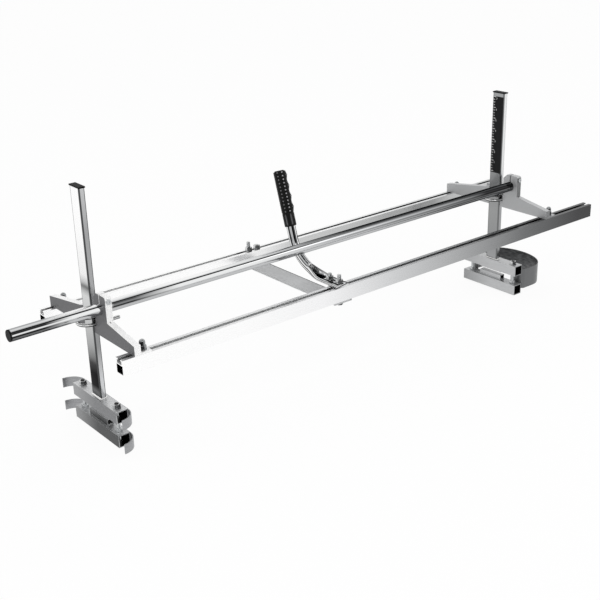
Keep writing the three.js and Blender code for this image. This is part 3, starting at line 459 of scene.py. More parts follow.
def brushed_tube_steel(node, face, rear, front, top):
    """Square steel tube of a jaw, ground along its length: fine lines, painted light and shade by facing, a brighter
    top and painted shade in its open end.
    """
    made, tree, noise = new_finish(
        f"{node}_brushed_tube", {"Metallic": 0.8}, (0.6 * MM, 30 * MM, 0.6 * MM), 0.04 * MM, (0.3, 0.45))
    front_tone, face_tone, top_tone = [grain_tone(tree, noise, *pair) for pair in (front, face, top)]
    to_rear = add(tree, "MapRange", {"span": JAW_REAR_FADE}, {"Value": place_parts(tree)["Y"]})
    face_tone = add(tree, "MixRGB", {"Color2": colour(rear)}, {"Fac": to_rear, "Color1": face_tone})
    mix = by_facing(tree, front_tone, face_tone, top_tone)
    low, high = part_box(node)
    half = JAW_HEIGHT / 2
    level = high.z - half if "upper" in node else low.z + half
    inside = in_hollow(tree, ((low.x + high.x) / 2, 0, level), (1, 0, 1))
    # Painted shade: near black on the walls inside the open tube
    tone = add(tree, "MixRGB", {"Color2": colour("#060606")}, {"Fac": inside, "Color1": mix})
    return toned(made, tone)


def polished_post_steel(name, stops, edge_stops, corner):
    """Polished steel tube: upright grinding lines, painted reflections and painted shade that change up the post, and
    a painted shade line down both sides.
    """
    made, tree, noise = new_finish(name, {"Metallic": 1.0}, (0.5 * MM, 0.5 * MM, 40 * MM), 0.015 * MM, (0.14, 0.24))
    face_tone = tone_along(tree, "Z", POST_SPAN, noise, 0.02, stops)
    edge_tone = tone_along(tree, "Z", POST_SPAN, noise, 0.02, edge_stops)
    mix = by_facing(tree, edge_tone, face_tone, corner_tone=corner)
    off_middle = add(tree, "Math", {"operation": "ABSOLUTE"}, {0: place_parts(tree)["Y"]})
    at_side = add(tree, "MapRange", {"span": POST_LINE_FADE}, {"Value": off_middle})
    on_face = add(tree, "Math", {"operation": "LESS_THAN", 1: POST_LINE_END}, {0: off_middle})
    line = add(tree, "Math", {"operation": "MULTIPLY"}, {0: at_side, 1: on_face})
    tone = add(tree, "MixRGB", {"Color2": colour(corner)}, {"Fac": line, "Color1": mix})
    glance = add(tree, "ValToRGB", {"stops": POST_GLANCE_STOPS}, {"Fac": tone})
    toned(made, glance, "Specular Tint")
    return toned(made, tone)


def bright_chrome():
    """Chromium plate on the handle: a mirror with painted reflection streaks that follow the tube, and painted shade
    towards its sides and in its scoop.
    """
    made, tree, _ = new_finish("bright_chrome", {"Metallic": 1.0}, [8 * MM] * 3, 0.0005 * MM, (0.03, 0.07))
    round_share, length_share, scoop_share = [
        add(tree, "Attribute", {"attribute_name": name}).outputs["Fac"] for name in TUBE_SHARES
    ]
    straight = add(tree, "ValToRGB", {"stops": STRAIGHT_STREAKS}, {"Fac": round_share})
    bent = add(tree, "ValToRGB", {"stops": BENT_STREAKS}, {"Fac": round_share})
    above = add(tree, "MapRange", {"span": STRAIGHT_FADE}, {"Value": length_share})
    tube = add(tree, "MixRGB", {}, {"Fac": above, "Color1": bent, "Color2": straight})
    in_scoop = add(tree, "ValToRGB", {"stops": SCOOP_TONES}, {"Fac": scoop_share})
    tone = add(tree, "MixRGB", {}, {"Fac": scoop_share, "Color1": tube, "Color2": in_scoop})
    return toned(made, tone, "Base Color", "Specular Tint")


def streaked_chrome():
    """Chromium plate on the long tube: painted reflections bright to the left and dark to the right, with painted
    reflection streaks and a painted shadow along it.
    """
    made, tree, noise = new_finish(
        "streaked_chrome", {"Metallic": 1.0}, (90 * MM, 1.5 * MM, 1.5 * MM), 0.001 * MM, (0.05, 0.11))
    upward = facing_parts(tree)["Z"]
    top, front, under, with_line = [
        tone_along(tree, "X", TUBE_SPAN, noise, 0.03, stops)
        for stops in (TUBE_TOP_STOPS, TUBE_FRONT_STOPS, TUBE_UNDER_STOPS, TUBE_LINE_PLACE)
    ]
    above = add(tree, "MapRange", {"span": TUBE_TOP_FACING}, {"Value": upward})
    below = add(tree, "MapRange", {"span": TUBE_UNDER_FACING}, {"Value": upward})
    upper = add(tree, "MixRGB", {}, {"Fac": above, "Color1": front, "Color2": top})
    both = add(tree, "MixRGB", {}, {"Fac": below, "Color1": upper, "Color2": under})
    turned = add(tree, "MapRange", {"span": DOWN_TO_UP}, {"Value": upward})
    line = add(tree, "ValToRGB", {"stops": TUBE_LINE}, {"Fac": turned})
    tone = add(tree, "MixRGB", {"blend_type": "MULTIPLY"}, {"Fac": with_line, "Color1": both, "Color2": line})
    for place_stops, streaks in ((TUBE_END_PLACE, TUBE_END_STREAKS), (TUBE_SHADE_PLACE, TUBE_SHADE_STREAKS)):
        here = tone_along(tree, "X", TUBE_SPAN, noise, 0.01, place_stops)
        streak = add(tree, "ValToRGB", {"stops": streaks}, {"Fac": turned})
        tone = add(tree, "MixRGB", {}, {"Fac": here, "Color1": tone, "Color2": streak})
    return toned(made, tone, "Base Color", "Specular Tint")


def bent_guard_steel():
    """Strip steel bent round the nose: cloudy, with painted shade inside, painted shade outside that grows towards its
    right, and painted dark shade on its rolled rim.
    """
    made, tree, noise = new_finish(
        "bent_guard_steel", {"Metallic": 0.9}, (16 * MM, 16 * MM, 3 * MM), 0.03 * MM, (0.28, 0.42))
    low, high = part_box("nose_guard")
    # Painted shade on the inner walls of the bend
    inside = in_hollow(tree, (low.x, (low.y + high.y) / 2, 0), (1, 1, 0))
    inner = grain_tone(tree, noise, "#3a3b3c", "#6c6d6e")
    outer = tone_along(tree, "X", (low.x, high.x), noise, 0.3, GUARD_STOPS)
    sides = add(tree, "MixRGB", {}, {"Fac": inside, "Color1": outer, "Color2": inner})
    rim = add(tree, "MapRange", {"span": UPWARD}, {"Value": facing_parts(tree)["Z"]})
    tone = add(tree, "MixRGB", {"Color2": colour("#2a2a2b")}, {"Fac": rim, "Color1": sides})
    return toned(made, tone)


def nut_zinc(name, rough, heading, stops, cloud):
    """Zinc plate on a nut: painted light and shade that follow the way its flats face, under a cloudy crystal grain.
    """
    made, tree, noise = new_finish(name, {"Metallic": 1.0}, [1.2 * MM] * 3, 0.02 * MM, rough)
    geometry = add(tree, "NewGeometry")
    towards = add(tree, "VectorMath", {"operation": "DOT_PRODUCT", 1: heading}, {0: geometry.outputs["Normal"]})
    flats = add(tree, "ValToRGB", {"stops": stops}, {"Fac": towards.outputs["Value"]})
    clouds = grain_tone(tree, noise, cloud, "#ffffff")
    tone = add(tree, "MixRGB", {"blend_type": "MULTIPLY", "Fac": 1.0}, {"Color1": flats, "Color2": clouds})
    return toned(made, tone)


def bright_rod():
    """Bright drawn rod of the bent loops: painted reflections, light above and in front, with dark streaks along it.
    """
    made, tree, _ = new_finish("bright_rod", {"Metallic": 1.0}, [2 * MM] * 3, 0.005 * MM, (0.12, 0.22))
    turned = add(tree, "MapRange", {"span": DOWN_TO_UP}, {"Value": facing_parts(tree)["Z"]})
    tone = add(tree, "ValToRGB", {"stops": ROD_STREAKS}, {"Fac": turned})
    return toned(made, tone)


def oiled_bolt_zinc():
    """Zinc plated clamp bolt: bright grey, darker at its upper end."""
    made, tree, noise = new_finish("oiled_bolt_zinc", {"Metallic": 1.0}, [1.2 * MM] * 3, 0.02 * MM, (0.2, 0.36))
    tone = tone_along(tree, "Z", CLAMP_BOLT_SPAN, noise, 0.01, CLAMP_BOLT_STOPS)
    return toned(made, tone)


def flat_bar_steel():
    """Flat steel bar with a dull rolled face, darker along its far side."""
    made, tree, noise = new_finish(
        "flat_bar_steel", {"Metallic": 0.35}, (0.8 * MM, 25 * MM, 0.8 * MM), 0.03 * MM, (0.45, 0.6))
    rolled = grain_tone(tree, noise, "#b4b5b6", "#c6c7c8")
    far_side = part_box("centre_brace")[1].x
    fade = [far_side - distance for distance in BRACE_DARK_SIDE_FADE]
    dark_side = add(tree, "MapRange", {"span": fade}, {"Value": place_parts(tree)["X"]})
    tone = add(tree, "MixRGB", {"Color2": colour("#6c6d6e")}, {"Fac": dark_side, "Color1": rolled})
    return toned(made, tone)


def soft_rubber(name, settings, height, rough, base_tones, highlight_tones):
    """Soft PVC rubber: its own tone, and a painted grey highlight where the piece's highlight attribute says so."""
    made, tree, noise = new_finish(name, {"IOR": 1.5, **settings}, [0.7 * MM] * 3, height, rough)
    base_tone, highlight_tone = [grain_tone(tree, noise, *pair) for pair in (base_tones, highlight_tones)]
    share = add(tree, "Attribute", {"attribute_name": "rubbed_share"})
    tone = add(tree, "MixRGB", {}, {"Fac": share.outputs["Fac"], "Color1": base_tone, "Color2": highlight_tone})
    return toned(made, tone)


def plain_finish(name, settings, cell, height, rough, dark, light):
    """A finish of one tone that only its grain breaks up."""
    made, tree, noise = new_finish(name, settings, cell, height, rough)
    return toned(made, grain_tone(tree, noise, dark, light))


finishes = {
    "rail": drawn_aluminium("drawn_front_rail", FRONT_RAIL_STOPS, FRONT_RAIL_STOPS, FRONT_SLOT_STOPS, -RAIL_Y),
    "rear_rail": drawn_aluminium("drawn_rear_rail", REAR_RAIL_STOPS, REAR_TOP_STOPS, REAR_SLOT_STOPS, RAIL_Y),
    # Painted light and shade by facing: on the left bracket dark broad faces and bright edges, on the right lighter
    # broad faces and darker fronts
    "dark_casting": cast_plate(
        "dark_cast_plate", ("#626264", "#6f6f71"), ("#f4f4f4", "#ffffff"), ("#f4f4f4", "#ffffff")),
    "light_casting": cast_plate(
        "light_cast_plate", ("#aaabac", "#b9babb"), ("#737475", "#8c8d8e"), ("#bebfc0", "#cfd0d1")),
    **{node: brushed_tube_steel(node, *tones) for node, tones in JAW_TONES.items()},
    "nose_guard": bent_guard_steel(),
    "left_post": polished_post_steel("left_post_steel", LEFT_POST_STOPS, LEFT_POST_EDGE_STOPS, "#4a4b4c"),
    "right_post": polished_post_steel("right_post_steel", RIGHT_POST_STOPS, RIGHT_POST_EDGE_STOPS, "#6e6f70"),
    "chrome": bright_chrome(),
    "thrust_tube": streaked_chrome(),
    # Zinc plated steel: bright grey with a slightly cloudy, fine crystal grain
    "zinc": plain_finish(
        "zinc_plate", {"Metallic": 1.0}, [1.2 * MM] * 3, 0.02 * MM, (0.18, 0.34), "#a9acae", "#cfd1d2"),
    # Zinc plate on the cap nuts: bright, with a painted shade streak upright towards the front left
    "rail_bolt": nut_zinc("cap_nut_zinc", (0.18, 0.34), CAP_NUT_HEADING, CAP_NUT_STOPS, "#dddddd"),
    # Zinc plated nuts: painted light and shade on their flats, light and dark, with a blotchy grain
    **dict.fromkeys(
        ("handle_front_bolt", "handle_rear_bolt", "brace_left_bolt", "brace_right_bolt", "clamp_nut"),
        nut_zinc("facet_shaded_nut_zinc", (0.2, 0.36), SHADED_NUT_HEADING, SHADED_NUT_STOPS, "#a8a8a8")),
    **dict.fromkeys(("lower_loop", "upper_loop"), bright_rod()),
    "clamp_bolt": oiled_bolt_zinc(),
    # Cold rolled strip steel: satin grey with lines along the strip
    "strip": plain_finish(
        "rolled_strip_steel", {"Metallic": 0.9}, (14 * MM, 14 * MM, 0.5 * MM), 0.03 * MM, (0.28, 0.42),
        "#8f9092", "#a9aaac"),
    "brace": flat_bar_steel(),
    # Moulded polyethylene: black, with a fine spark-eroded grain and a soft sheen
    "black_plastic": plain_finish(
        "moulded_black_plastic", {"IOR": 1.5, "Specular IOR Level": 0.08}, [0.5 * MM] * 3, 0.04 * MM, (0.42, 0.58),
        "#0c0c0d", "#161617"),
    # Black oxide on screw steel: dark, with a slightly oily sheen
    "black_screw": plain_finish(
        "blackened_steel", {"Metallic": 0.6}, [0.6 * MM] * 3, 0.02 * MM, (0.3, 0.45), "#1c1c1e", "#2c2c2e"),
    # Rubber of the grip: deep black with a low sheen, with two painted grey highlight streaks down the collar
    "rubber": soft_rubber(
        "moulded_rubber", {"Specular IOR Level": 0.14}, 0.03 * MM, (0.36, 0.5),
        ("#040404", "#0a0a0a"), ("#6a6a6c", "#6a6a6c")),
    # Tips of the moulded dots: painted grey highlights on some columns, dark elsewhere
    "rubber_dots": soft_rubber(
        "highlit_dot_rubber", {}, 0.02 * MM, (0.2, 0.32), ("#1c1c1d", "#1c1c1d"), ("#77777a", "#a8a8aa")),
    # Printed vinyl strip: matt black film
    "scale": plain_finish(
        "printed_black_strip", {"Specular IOR Level": 0.12}, [2 * MM] * 3, 0.01 * MM, (0.5, 0.62),
        "#121213", "#1a1a1b"),
    # White screen ink of the scale, slightly worn
    "ink": plain_finish("white_ink", {}, [1.5 * MM] * 3, 0.01 * MM, (0.5, 0.65), "#b9b9b9", "#ececec"),
    # Weld bead: bright rippled steel with a slight heat tint
    "weld": plain_finish(
        "weld_metal", {"Metallic": 1.0}, [1.5 * MM] * 3, 0.05 * MM, (0.2, 0.4), "#dddcda", "#ffffff"),
}


def finish_of(node):
    """Finish of a CAD node: its own, or its kind's, and otherwise that of its slot in the record."""
    for key in (node, node.split("_", 1)[-1], node.split("_", 2)[-1]):
        if key in finishes:
            return finishes[key]
    return finishes[slot_of_node[node]]


def make_piece(name, shape, finish, body, sharp=40, edge=0.0, node=None):
    """Turns a bmesh into a piece that rides on a body, in place of a CAD node if one is given."""
    for face in shape.faces:
        face.smooth = True
    for line in shape.edges:
        line.smooth = line.calc_face_angle(0.0) < math.radians(sharp)
    mesh = bpy.data.meshes.new(name)
    shape.to_mesh(mesh)
    shape.free()
    mesh.materials.append(finish)
    piece = bpy.data.objects.new(name, mesh)
    bpy.context.scene.collection.objects.link(piece)
    if edge:
        bevel = piece.modifiers.new("broken_edges", "BEVEL")
        bevel.width = edge
        bevel.segments = 2
        bevel.limit_method = "ANGLE"
        bevel.angle_limit = math.radians(sharp)
        bevel.harden_normals = True
    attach(piece, body)
    if node:
        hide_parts(node)


def merged_copy(node):
    """Copy of a CAD node with its loose triangles joined into clean faces."""
    shape = bmesh.new()
    shape.from_mesh(frame["nodes"][node].data)
    bmesh.ops.remove_doubles(shape, verts=shape.verts, dist=0.01 * MM)
    bmesh.ops.dissolve_limit(
        shape, angle_limit=math.radians(0.5), use_dissolve_boundaries=False, verts=shape.verts, edges=shape.edges
    )
    return shape


def edged(node):
    """A CAD node with its edges broken, as deburred metal or moulded plastic has them."""
    kind = max((ending for ending in EDGE_RADII if node.endswith(ending)), key=len)
    make_piece(
        f"{node}_finished", merged_copy(node), finish_of(node), body_of_node[node],
        edge=EDGE_RADII[kind] * MM, node=node
    )


def post_tube(side):
    """Post: a length of rectangular tube with rounded corners, open at both ends."""
    post = f"{side}_post"
    low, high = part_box(post)
    size = Matrix.Diagonal((*(high - low), 1))
    shape = bmesh.new()
    bmesh.ops.create_cube(shape, size=1, matrix=Matrix.Translation((low + high) / 2) @ size)
    upright = [line for line in shape.edges if abs(line.verts[0].co.z - line.verts[1].co.z) > POST_CORNER]
    bmesh.ops.bevel(shape, geom=upright, offset=POST_CORNER, affect="EDGES", segments=6, profile=0.5, material=-1)
    ends = [face for face in shape.faces if abs(face.normal.z) > 0.5]
    bmesh.ops.inset_individual(shape, faces=ends, thickness=POST_WALL)
    rims = [line for face in ends for line in face.edges]
    bmesh.ops.delete(shape, geom=ends, context="FACES_ONLY")
    bmesh.ops.bridge_loops(shape, edges=rims)
    bmesh.ops.recalc_face_normals(shape, faces=shape.faces)
    make_piece(f"{post}_tube", shape, finishes[post], f"{side}_column", node=post)


def smooth_step(value, low, high):
    """0 below low, 1 above high and an even rise between them."""
    share = min(max((value - low) / (high - low), 0.0), 1.0)
    return share * share * (3 - 2 * share)


def hump(offset, width):
    """1 in the middle of a rounded ridge, groove or streak, falling off over its width."""
    return math.exp(-((offset / width) ** 2))


def unit_cylinder(segments, length_cuts):
    """Upright cylinder of radius and height 1 round the origin, cut into rings, to be bent into shape."""
    shape = bmesh.new()
    bmesh.ops.create_cone(shape, cap_ends=True, segments=segments, radius1=1, radius2=1, depth=1)
    long_edges = [line for line in shape.edges if abs(line.verts[0].co.z - line.verts[1].co.z) > 0.5]
    bmesh.ops.subdivide_edges(shape, edges=long_edges, cuts=length_cuts)
    return shape


def bent_place(share):
    """Middle and direction of the handle tube, from the flat foot over the bend to the straight top."""
    start = Vector((HANDLE_X, FOOT_START_Y, RAIL_TOP + FOOT_THICKNESS / 2))
    flat_end = Vector((HANDLE_X, FOOT_END_Y, RAIL_TOP + FOOT_THICKNESS / 2))
    if share < BEND_START:
        return start.lerp(flat_end, share / BEND_START), Vector((0, 1, 0))
    if share > BEND_END:
        risen = (share - BEND_END) / (1 - BEND_END) * (GRIP_GAP + GRIP_LENGTH / 3)
        return BEND_TOP + HANDLE_AXIS * risen, HANDLE_AXIS
    t = (share - BEND_START) / (BEND_END - BEND_START)
    u = 1 - t
    pulls = [flat_end, flat_end + BEND_FOOT_PULL, BEND_TOP - HANDLE_AXIS * BEND_TOP_PULL, BEND_TOP]
    weights = (u**3, 3 * u * u * t, 3 * u * t * t, t**3)
    middle = sum((pull * weight for pull, weight in zip(pulls, weights)), Vector())
    steps = [after - before for before, after in zip(pulls, pulls[1:])]
    heading = steps[0] * u * u + steps[1] * 2 * u * t + steps[2] * t * t
    return middle, heading.normalized()


def pressed_ring(across, height, width, half_height):
    """Moves a point of a round ring onto a flattened one: straight top and bottom with half-round sides."""
    straight = width - half_height
    flat_share = PRESSED_FLAT_SHARE * straight / width
    if abs(across) < flat_share:
        return math.copysign(straight * abs(across) / flat_share, across), math.copysign(half_height, height)
    turn = math.acos((abs(across) - flat_share) / (1 - flat_share))
    x = straight + half_height * math.cos(turn)
    return math.copysign(x, across), math.copysign(half_height * math.sin(turn), height)


def scooped(x, z, share, width, half_height):
    """Height of a point of the foot pressed into the scoop or its rims, and how deep in the scoop it lies."""
    opened = smooth_step(share, SCOOP_START, SCOOP_START + SCOOP_OPENING)
    closed = 1 - smooth_step(share, SCOOP_END - SCOOP_CLOSING, SCOOP_END)
    out = abs(x) / width
    bowl = (1 - smooth_step(out, *SCOOP_BOWL_SIDE)) * opened * closed
    rim = hump(out - SCOOP_RIM_PLACE, SCOOP_RIM_WIDTH) * opened * closed
    floor_z = SCOOP_FLOOR - half_height
    return z + (floor_z - z) * bowl + SCOOP_RIM * rim, max(bowl, rim * SCOOP_RIM_TONE)


def handle_tube():
    """Bent tube whose foot is pressed flat, with a scoop between rolled rims where the round tube starts."""
    shape = unit_cylinder(96, HANDLE_LENGTH_CUTS)
    round_share, length_share, scoop_share = [shape.verts.layers.float.new(name) for name in TUBE_SHARES]
    for vert in shape.verts:
        share = vert.co.z + 0.5
        across, height = vert.co.x, vert.co.y
        off_front = math.degrees(math.atan2(height, across)) - STREAK_MIDDLE_DEGREES
        vert[round_share] = abs((off_front + 180) % 360 - 180) / 180
        vert[length_share] = share
        middle, heading = bent_place(share)
        roundness = smooth_step(share, BEND_START, ROUND_START)
        width = FOOT_HALF_WIDTH + (TUBE_RADIUS - FOOT_HALF_WIDTH) * roundness
        half_height = FOOT_THICKNESS / 2 + (TUBE_RADIUS - FOOT_THICKNESS / 2) * roundness
        x, z = pressed_ring(across, height, width, half_height)
        if height > 0:
            z, vert[scoop_share] = scooped(x, z, share, width, half_height)
        vert.co = middle + ALONG * x + ALONG.cross(heading) * z
    bmesh.ops.recalc_face_normals(shape, faces=shape.faces)
    make_piece("handle_bent_tube", shape, finishes["chrome"], "rail_frame", sharp=50, node="handle_tube")


def grip_place(height, angle, reach):
    """Place on the grip at a height along its axis, an angle round it and a distance from it."""
    across = HANDLE_AXIS.cross(ALONG)
    base = BEND_TOP + HANDLE_AXIS * (GRIP_GAP + height)
    return base + ALONG * reach * math.cos(angle) + across * reach * math.sin(angle)


def grip_reach(height, angle):
    """Distance of the grip's surface from its axis: finger bumps above, ribs on the collar below."""
    place = max(height - GRIP_COLLAR, 0) / (GRIP_LENGTH - GRIP_COLLAR)
    wave = (1 - math.cos(2 * math.pi * GRIP_FINGERS * place)) / 2
    bump = GRIP_BUMP * wave * max(math.cos(angle), 0) ** 2
    in_collar = 1 - smooth_step(height, GRIP_COLLAR - COLLAR_FADE, GRIP_COLLAR)
    rib = COLLAR_RIB_DEPTH * in_collar * (1 - math.cos(COLLAR_RIBS * angle)) / 2
    ring = RING_GROOVE_DEPTH * hump(height - GRIP_COLLAR, RING_GROOVE_WIDTH)
    mouth = MOUTH_DEPTH * (1 - smooth_step(height, 0, MOUTH_HEIGHT))
    crown = CROWN_DEPTH * smooth_step(height, GRIP_LENGTH - CROWN_HEIGHT, GRIP_LENGTH) ** 2
    return GRIP_RADIUS + bump - rib - ring - mouth - crown


def handle_grip():
    """Rubber grip: four finger bumps, a ribbed collar and a groove across its top."""
    shape = unit_cylinder(64, GRIP_LENGTH_CUTS)
    top = [face for face in shape.faces if face.calc_center_median().z > 0.499]
    for _ in range(2):
        bmesh.ops.inset_region(shape, faces=top, thickness=0.35, depth=0)
    rubbed_share = shape.verts.layers.float.new("rubbed_share")
    for vert in shape.verts:
        height = (vert.co.z + 0.5) * GRIP_LENGTH
        angle = math.atan2(vert.co.y, vert.co.x)
        # Painted highlight streaks, kept to the collar
        off_streaks = [math.degrees(angle) - middle for middle in HIGHLIGHT_STREAKS_DEGREES]
        streak = max(hump(offset, HIGHLIGHT_WIDTH_DEGREES) for offset in off_streaks)
        on_collar = smooth_step(height, *HIGHLIGHT_START) * (1 - smooth_step(height, *HIGHLIGHT_END))
        vert[rubbed_share] = streak * on_collar
        share = min(math.hypot(vert.co.x, vert.co.y), 1.0)
        near_top = smooth_step(height, GRIP_LENGTH - TOP_GROOVE_HEIGHT, GRIP_LENGTH)
        groove = TOP_GROOVE_DEPTH * near_top * hump(share * math.cos(angle - TOP_GROOVE_ANGLE), TOP_GROOVE_SHARE)
        vert.co = grip_place(height - groove, angle, grip_reach(height, angle) * share)
    bmesh.ops.recalc_face_normals(shape, faces=shape.faces)
    make_piece("handle_rubber_grip", shape, finishes["rubber"], "rail_frame", node="handle_grip")


def grip_dots():
    """Small raised dots in rows round the grip, three to each finger bump."""
    shape = bmesh.new()
    rubbed_share = shape.verts.layers.float.new("rubbed_share")
    rows = DOT_ROWS_PER_FINGER * GRIP_FINGERS
    pitch = (GRIP_LENGTH - GRIP_COLLAR) / rows
    flat = Matrix.Diagonal((1, 1, DOT_RISE / DOT_RADIUS, 1))
    for row in range(rows):
        height = GRIP_COLLAR + pitch * (row + 0.5)
        for column in range(DOT_COLUMNS):
            angle = math.radians(DOT_FIRST_DEGREES + 360 / DOT_COLUMNS * column)
            foot = grip_place(height, angle, 0)
            outward = (grip_place(height, angle, 1) - foot).normalized()
            turn = outward.to_track_quat("Z", "Y").to_matrix().to_4x4()
            place = Matrix.Translation(foot + outward * grip_reach(height, angle)) @ turn @ flat
            dot = bmesh.ops.create_uvsphere(shape, u_segments=12, v_segments=8, radius=DOT_RADIUS, matrix=place)
            for vert in dot["verts"]:
                # Painted highlight: full on every fourth column, a dull share elsewhere
                vert[rubbed_share] = 1.0 if column % DOT_HIGHLIGHT_EVERY == 0 else DOT_DULL_SHARE
    make_piece("grip_dots", shape, finishes["rubber_dots"], "rail_frame")


def screw_thread(name, body, start, axis, length, radius):
    """Screw thread wound round a bolt end: a small ridge that climbs one pitch a turn."""
    shape = bmesh.new()
    across = axis.orthogonal().normalized()
    root = across * (radius - THREAD_DEPTH)
    corners = [root - axis * THREAD_FLANK, across * (radius + THREAD_DEPTH), root + axis * THREAD_FLANK]
    profile = [shape.verts.new(start + corner) for corner in corners]
    edges = [shape.edges.new(pair) for pair in zip(profile, profile[1:])]
    turns = length / THREAD_PITCH
    steps = max(int(turns * THREAD_STEPS_PER_TURN), 2)
    bmesh.ops.spin(
        shape, geom=profile + edges, cent=start, axis=axis, dvec=axis * length / steps,
        angle=2 * math.pi * turns, steps=steps, use_duplicate=False,
    )
    bmesh.ops.recalc_face_normals(shape, faces=shape.faces)
    make_piece(name, shape, finishes["zinc"], body, sharp=30)


def bolt_threads():
    """Threads on the visible ends of the bolts and of the bent rods."""
    for node, length in FRAME_THREADS:
        low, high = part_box(node)
        start = Vector(((low.x + high.x) / 2, (low.y + high.y) / 2, high.z - length))
        screw_thread(f"{node}_thread", "rail_frame", start, UP, length - THREAD_PLAIN_TIP, BOLT_RADIUS)
    for side in ("left", "right"):
        for level in ("lower", "upper"):
            loop_low, loop_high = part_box(f"{side}_{level}_loop")
            z = (loop_low.z + loop_high.z) / 2
            for end in ("front", "rear"):
                nut_low, nut_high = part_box(f"{side}_{level}_{end}_loop_nut")
                start = Vector((nut_high.x, (nut_low.y + nut_high.y) / 2, z))
                length = loop_high.x - nut_high.x - THREAD_PLAIN_TIP
                name = f"{side}_{level}_{end}_loop_thread"
                screw_thread(name, f"{side}_carriage", start, ALONG, length, ROD_RADIUS)
        start_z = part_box(f"{side}_upper_jaw")[0].z - CLAMP_THREAD_DROP
        for end in ("front", "rear"):
            low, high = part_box(f"{side}_{end}_clamp_bolt")
            start = Vector(((low.x + high.x) / 2, (low.y + high.y) / 2, start_z))
            name = f"{side}_{end}_clamp_thread"
            screw_thread(name, f"{side}_lower_clamp", start, UP, CLAMP_THREAD_LENGTH, BOLT_RADIUS)


def scale_number(text, x, y, z):
    """One plain number of the scale, as a thin mesh."""
    name = "number_" + text
    words = bpy.data.curves.new(name, "FONT")
    words.body = text
    words.size = NUMBER_SIZE
    words.extrude = INK_THICKNESS / 2
    words.align_x = "CENTER"
    words.align_y = "CENTER"
    holder = bpy.data.objects.new(name, words)
    bpy.context.scene.collection.objects.link(holder)
    bpy.context.view_layer.update()
    mesh = bpy.data.meshes.new_from_object(holder)
    bpy.data.objects.remove(holder)
    mesh.transform(Matrix(((0, 0, -1, x), (-1, 0, 0, y), (0, 1, 0, z), (0, 0, 0, 1))))
    return mesh


def scale_print():
    """White print on the scale of the right post: an inch scale with quarters and numbers."""
    shape = bmesh.new()
    low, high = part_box("right_post_scale")
    x = low.x - INK_LIFT
    edge_y = high.y - SCALE_SIDE_GAP
    base = low.z + SCALE_FOOT_GAP
    inches = int((high.z - low.z) / INCH)
    for quarter in range(inches * 4 + 1):
        width = INCH_MARK if quarter % 4 == 0 else QUARTER_MARK
        place = Matrix.Translation((x, edge_y - width / 2, base + quarter * INCH / 4))
        size = Matrix.Diagonal((INK_THICKNESS, width, MARK_HEIGHT, 1))
        bmesh.ops.create_cube(shape, size=1, matrix=place @ size)
    for inch in range(1, inches + 1):
        mesh = scale_number(str(inch), x, edge_y - NUMBER_IN, base + inch * INCH - NUMBER_DROP)
        shape.from_mesh(mesh)
        bpy.data.meshes.remove(mesh)
    make_piece("post_scale_print", shape, finishes["ink"], "right_column")


def weld_bead(side):
    """Stacked weld ripples round the foot of a post, on top of its upper jaw."""
    shape = bmesh.new()
    low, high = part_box(f"{side}_post")
    corners = [Vector((x, y, low.z)) for x, y in ((low.x, low.y), (high.x, low.y), (high.x, high.y), (low.x, high.y))]
    flat = Matrix.Diagonal((1, 1, BEAD_FLATNESS, 1))
    for start, end in zip(corners, corners[1:] + corners[:1]):
        count = round((end - start).length / BEAD_STEP)
        turn = (end - start).normalized().to_track_quat("Z", "Y").to_matrix().to_4x4()
        for i in range(count + 1):
            place = Matrix.Translation(start.lerp(end, i / count)) @ turn @ flat
            bmesh.ops.create_uvsphere(shape, u_segments=8, v_segments=5, radius=BEAD_RADIUS, matrix=place)
    make_piece(f"{side}_post_weld", shape, finishes["weld"], f"{side}_column")


def studio_floor():
    """Plain pale floor: white paper that takes a faint shadow."""
    shape = bmesh.new()
    bmesh.ops.create_grid(shape, x_segments=4, y_segments=4, size=FLOOR_SIZE)
    mesh = bpy.data.meshes.new("studio_floor")
    shape.to_mesh(mesh)
    shape.free()
    floor = bpy.data.objects.new("studio_floor", mesh)
    bpy.context.scene.collection.objects.link(floor)
    paper = bpy.data.materials.new("white_paper")
    paper.use_nodes = True
    tree = paper.node_tree
    tree.nodes.clear()
    rays = add(tree, "LightPath").outputs
    seen = add(tree, "Math", {"operation": "MAXIMUM"}, {0: rays["Is Camera Ray"], 1: rays["Is Glossy Ray"]})
    seen = add(tree, "Math", {"operation": "MAXIMUM"}, {0: seen, 1: rays["Is Transmission Ray"]})
    share = add(tree, "Math", {"operation": "MULTIPLY", 1: FLOOR_GLOW}, {0: seen})
    matt = add(tree, "BsdfDiffuse", {"Color": colour("#f6f6f6")})
    white = add(tree, "Emission")
    both = add(tree, "MixShader", {}, {"Fac": share, 1: matt, 2: white})
    add(tree, "OutputMaterial", {}, {"Surface": both})
    mesh.materials.append(paper)


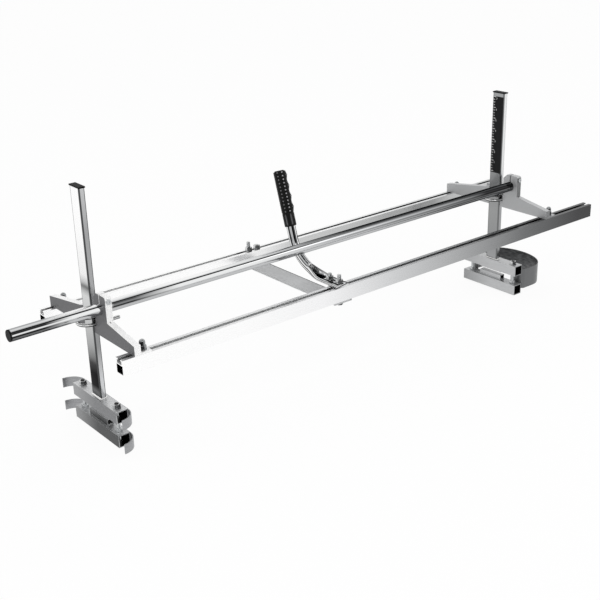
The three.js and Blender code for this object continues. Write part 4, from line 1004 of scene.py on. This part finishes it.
def studio_room():
    """Bright room round the mill, with a dark batten and a dark card for metal to mirror."""
    world = bpy.data.worlds.new("studio_room")
    bpy.context.scene.world = world
    world.use_nodes = True
    tree = world.node_tree
    tree.nodes.clear()
    rays = add(tree, "LightPath").outputs
    heading = add(tree, "TexCoord").outputs["Generated"]
    parts = add(tree, "SeparateXYZ", {}, {"Vector": heading}).outputs
    roll = add(tree, "Math", {"operation": "ARCTAN2"}, {0: parts["Z"], 1: parts["Y"]})
    half_turn = add(tree, "Math", {"operation": "DIVIDE", 1: math.pi}, {0: roll})
    batten = add(tree, "ValToRGB", {"stops": BATTEN_STOPS}, {"Fac": half_turn})
    to_card = add(tree, "VectorMath", {"operation": "DOT_PRODUCT", 1: CARD_HEADING}, {0: heading})
    card = add(tree, "ValToRGB", {"stops": CARD_STOPS}, {"Fac": to_card.outputs["Value"]})
    room = add(tree, "MixRGB", {"blend_type": "MULTIPLY", "Fac": 1.0}, {"Color1": batten, "Color2": card})
    lit = add(tree, "Background", {"Strength": ROOM_STRENGTH}, {"Color": room})
    plain = add(tree, "Background", {"Color": (1, 1, 1, 1)})
    both = add(tree, "MixShader", {}, {"Fac": rays["Is Camera Ray"], 1: lit, 2: plain})
    add(tree, "OutputWorld", {}, {"Surface": both})


def studio_lamps():
    """Two soft lamps, one from the front left above and a weaker one from the front right."""
    for name, place, size, power in LAMPS:
        lamp = bpy.data.lights.new(name, "AREA")
        lamp.size = size
        lamp.energy = power
        holder = bpy.data.objects.new(name, lamp)
        holder.location = place
        holder.rotation_euler = (LAMP_TARGET - Vector(place)).to_track_quat("-Z", "Y").to_euler()
        bpy.context.scene.collection.objects.link(holder)


def camera():
    """Camera at the photograph's place and angle."""
    lens = bpy.data.cameras.new("photo_camera")
    lens.lens = CAMERA_LENS
    lens.clip_end = 100
    holder = bpy.data.objects.new("photo_camera", lens)
    yaw = Matrix.Rotation(-CAMERA_YAW, 4, "Z")
    pitch = Matrix.Rotation(math.pi / 2 - CAMERA_PITCH, 4, "X")
    roll = Matrix.Rotation(CAMERA_ROLL, 4, "Z")
    holder.matrix_world = Matrix.Translation(CAMERA_PLACE) @ yaw @ pitch @ roll
    bpy.context.scene.collection.objects.link(holder)
    bpy.context.scene.camera = holder


for node_name in frame["nodes"]:
    if node_name not in REBUILT:
        edged(node_name)
for side_name in ("left", "right"):
    post_tube(side_name)
handle_tube()
handle_grip()
grip_dots()
bolt_threads()
scale_print()
for side_name in ("left", "right"):
    weld_bead(side_name)
studio_floor()
studio_room()
studio_lamps()
camera()
bpy.context.scene.view_settings.view_transform = "Standard"
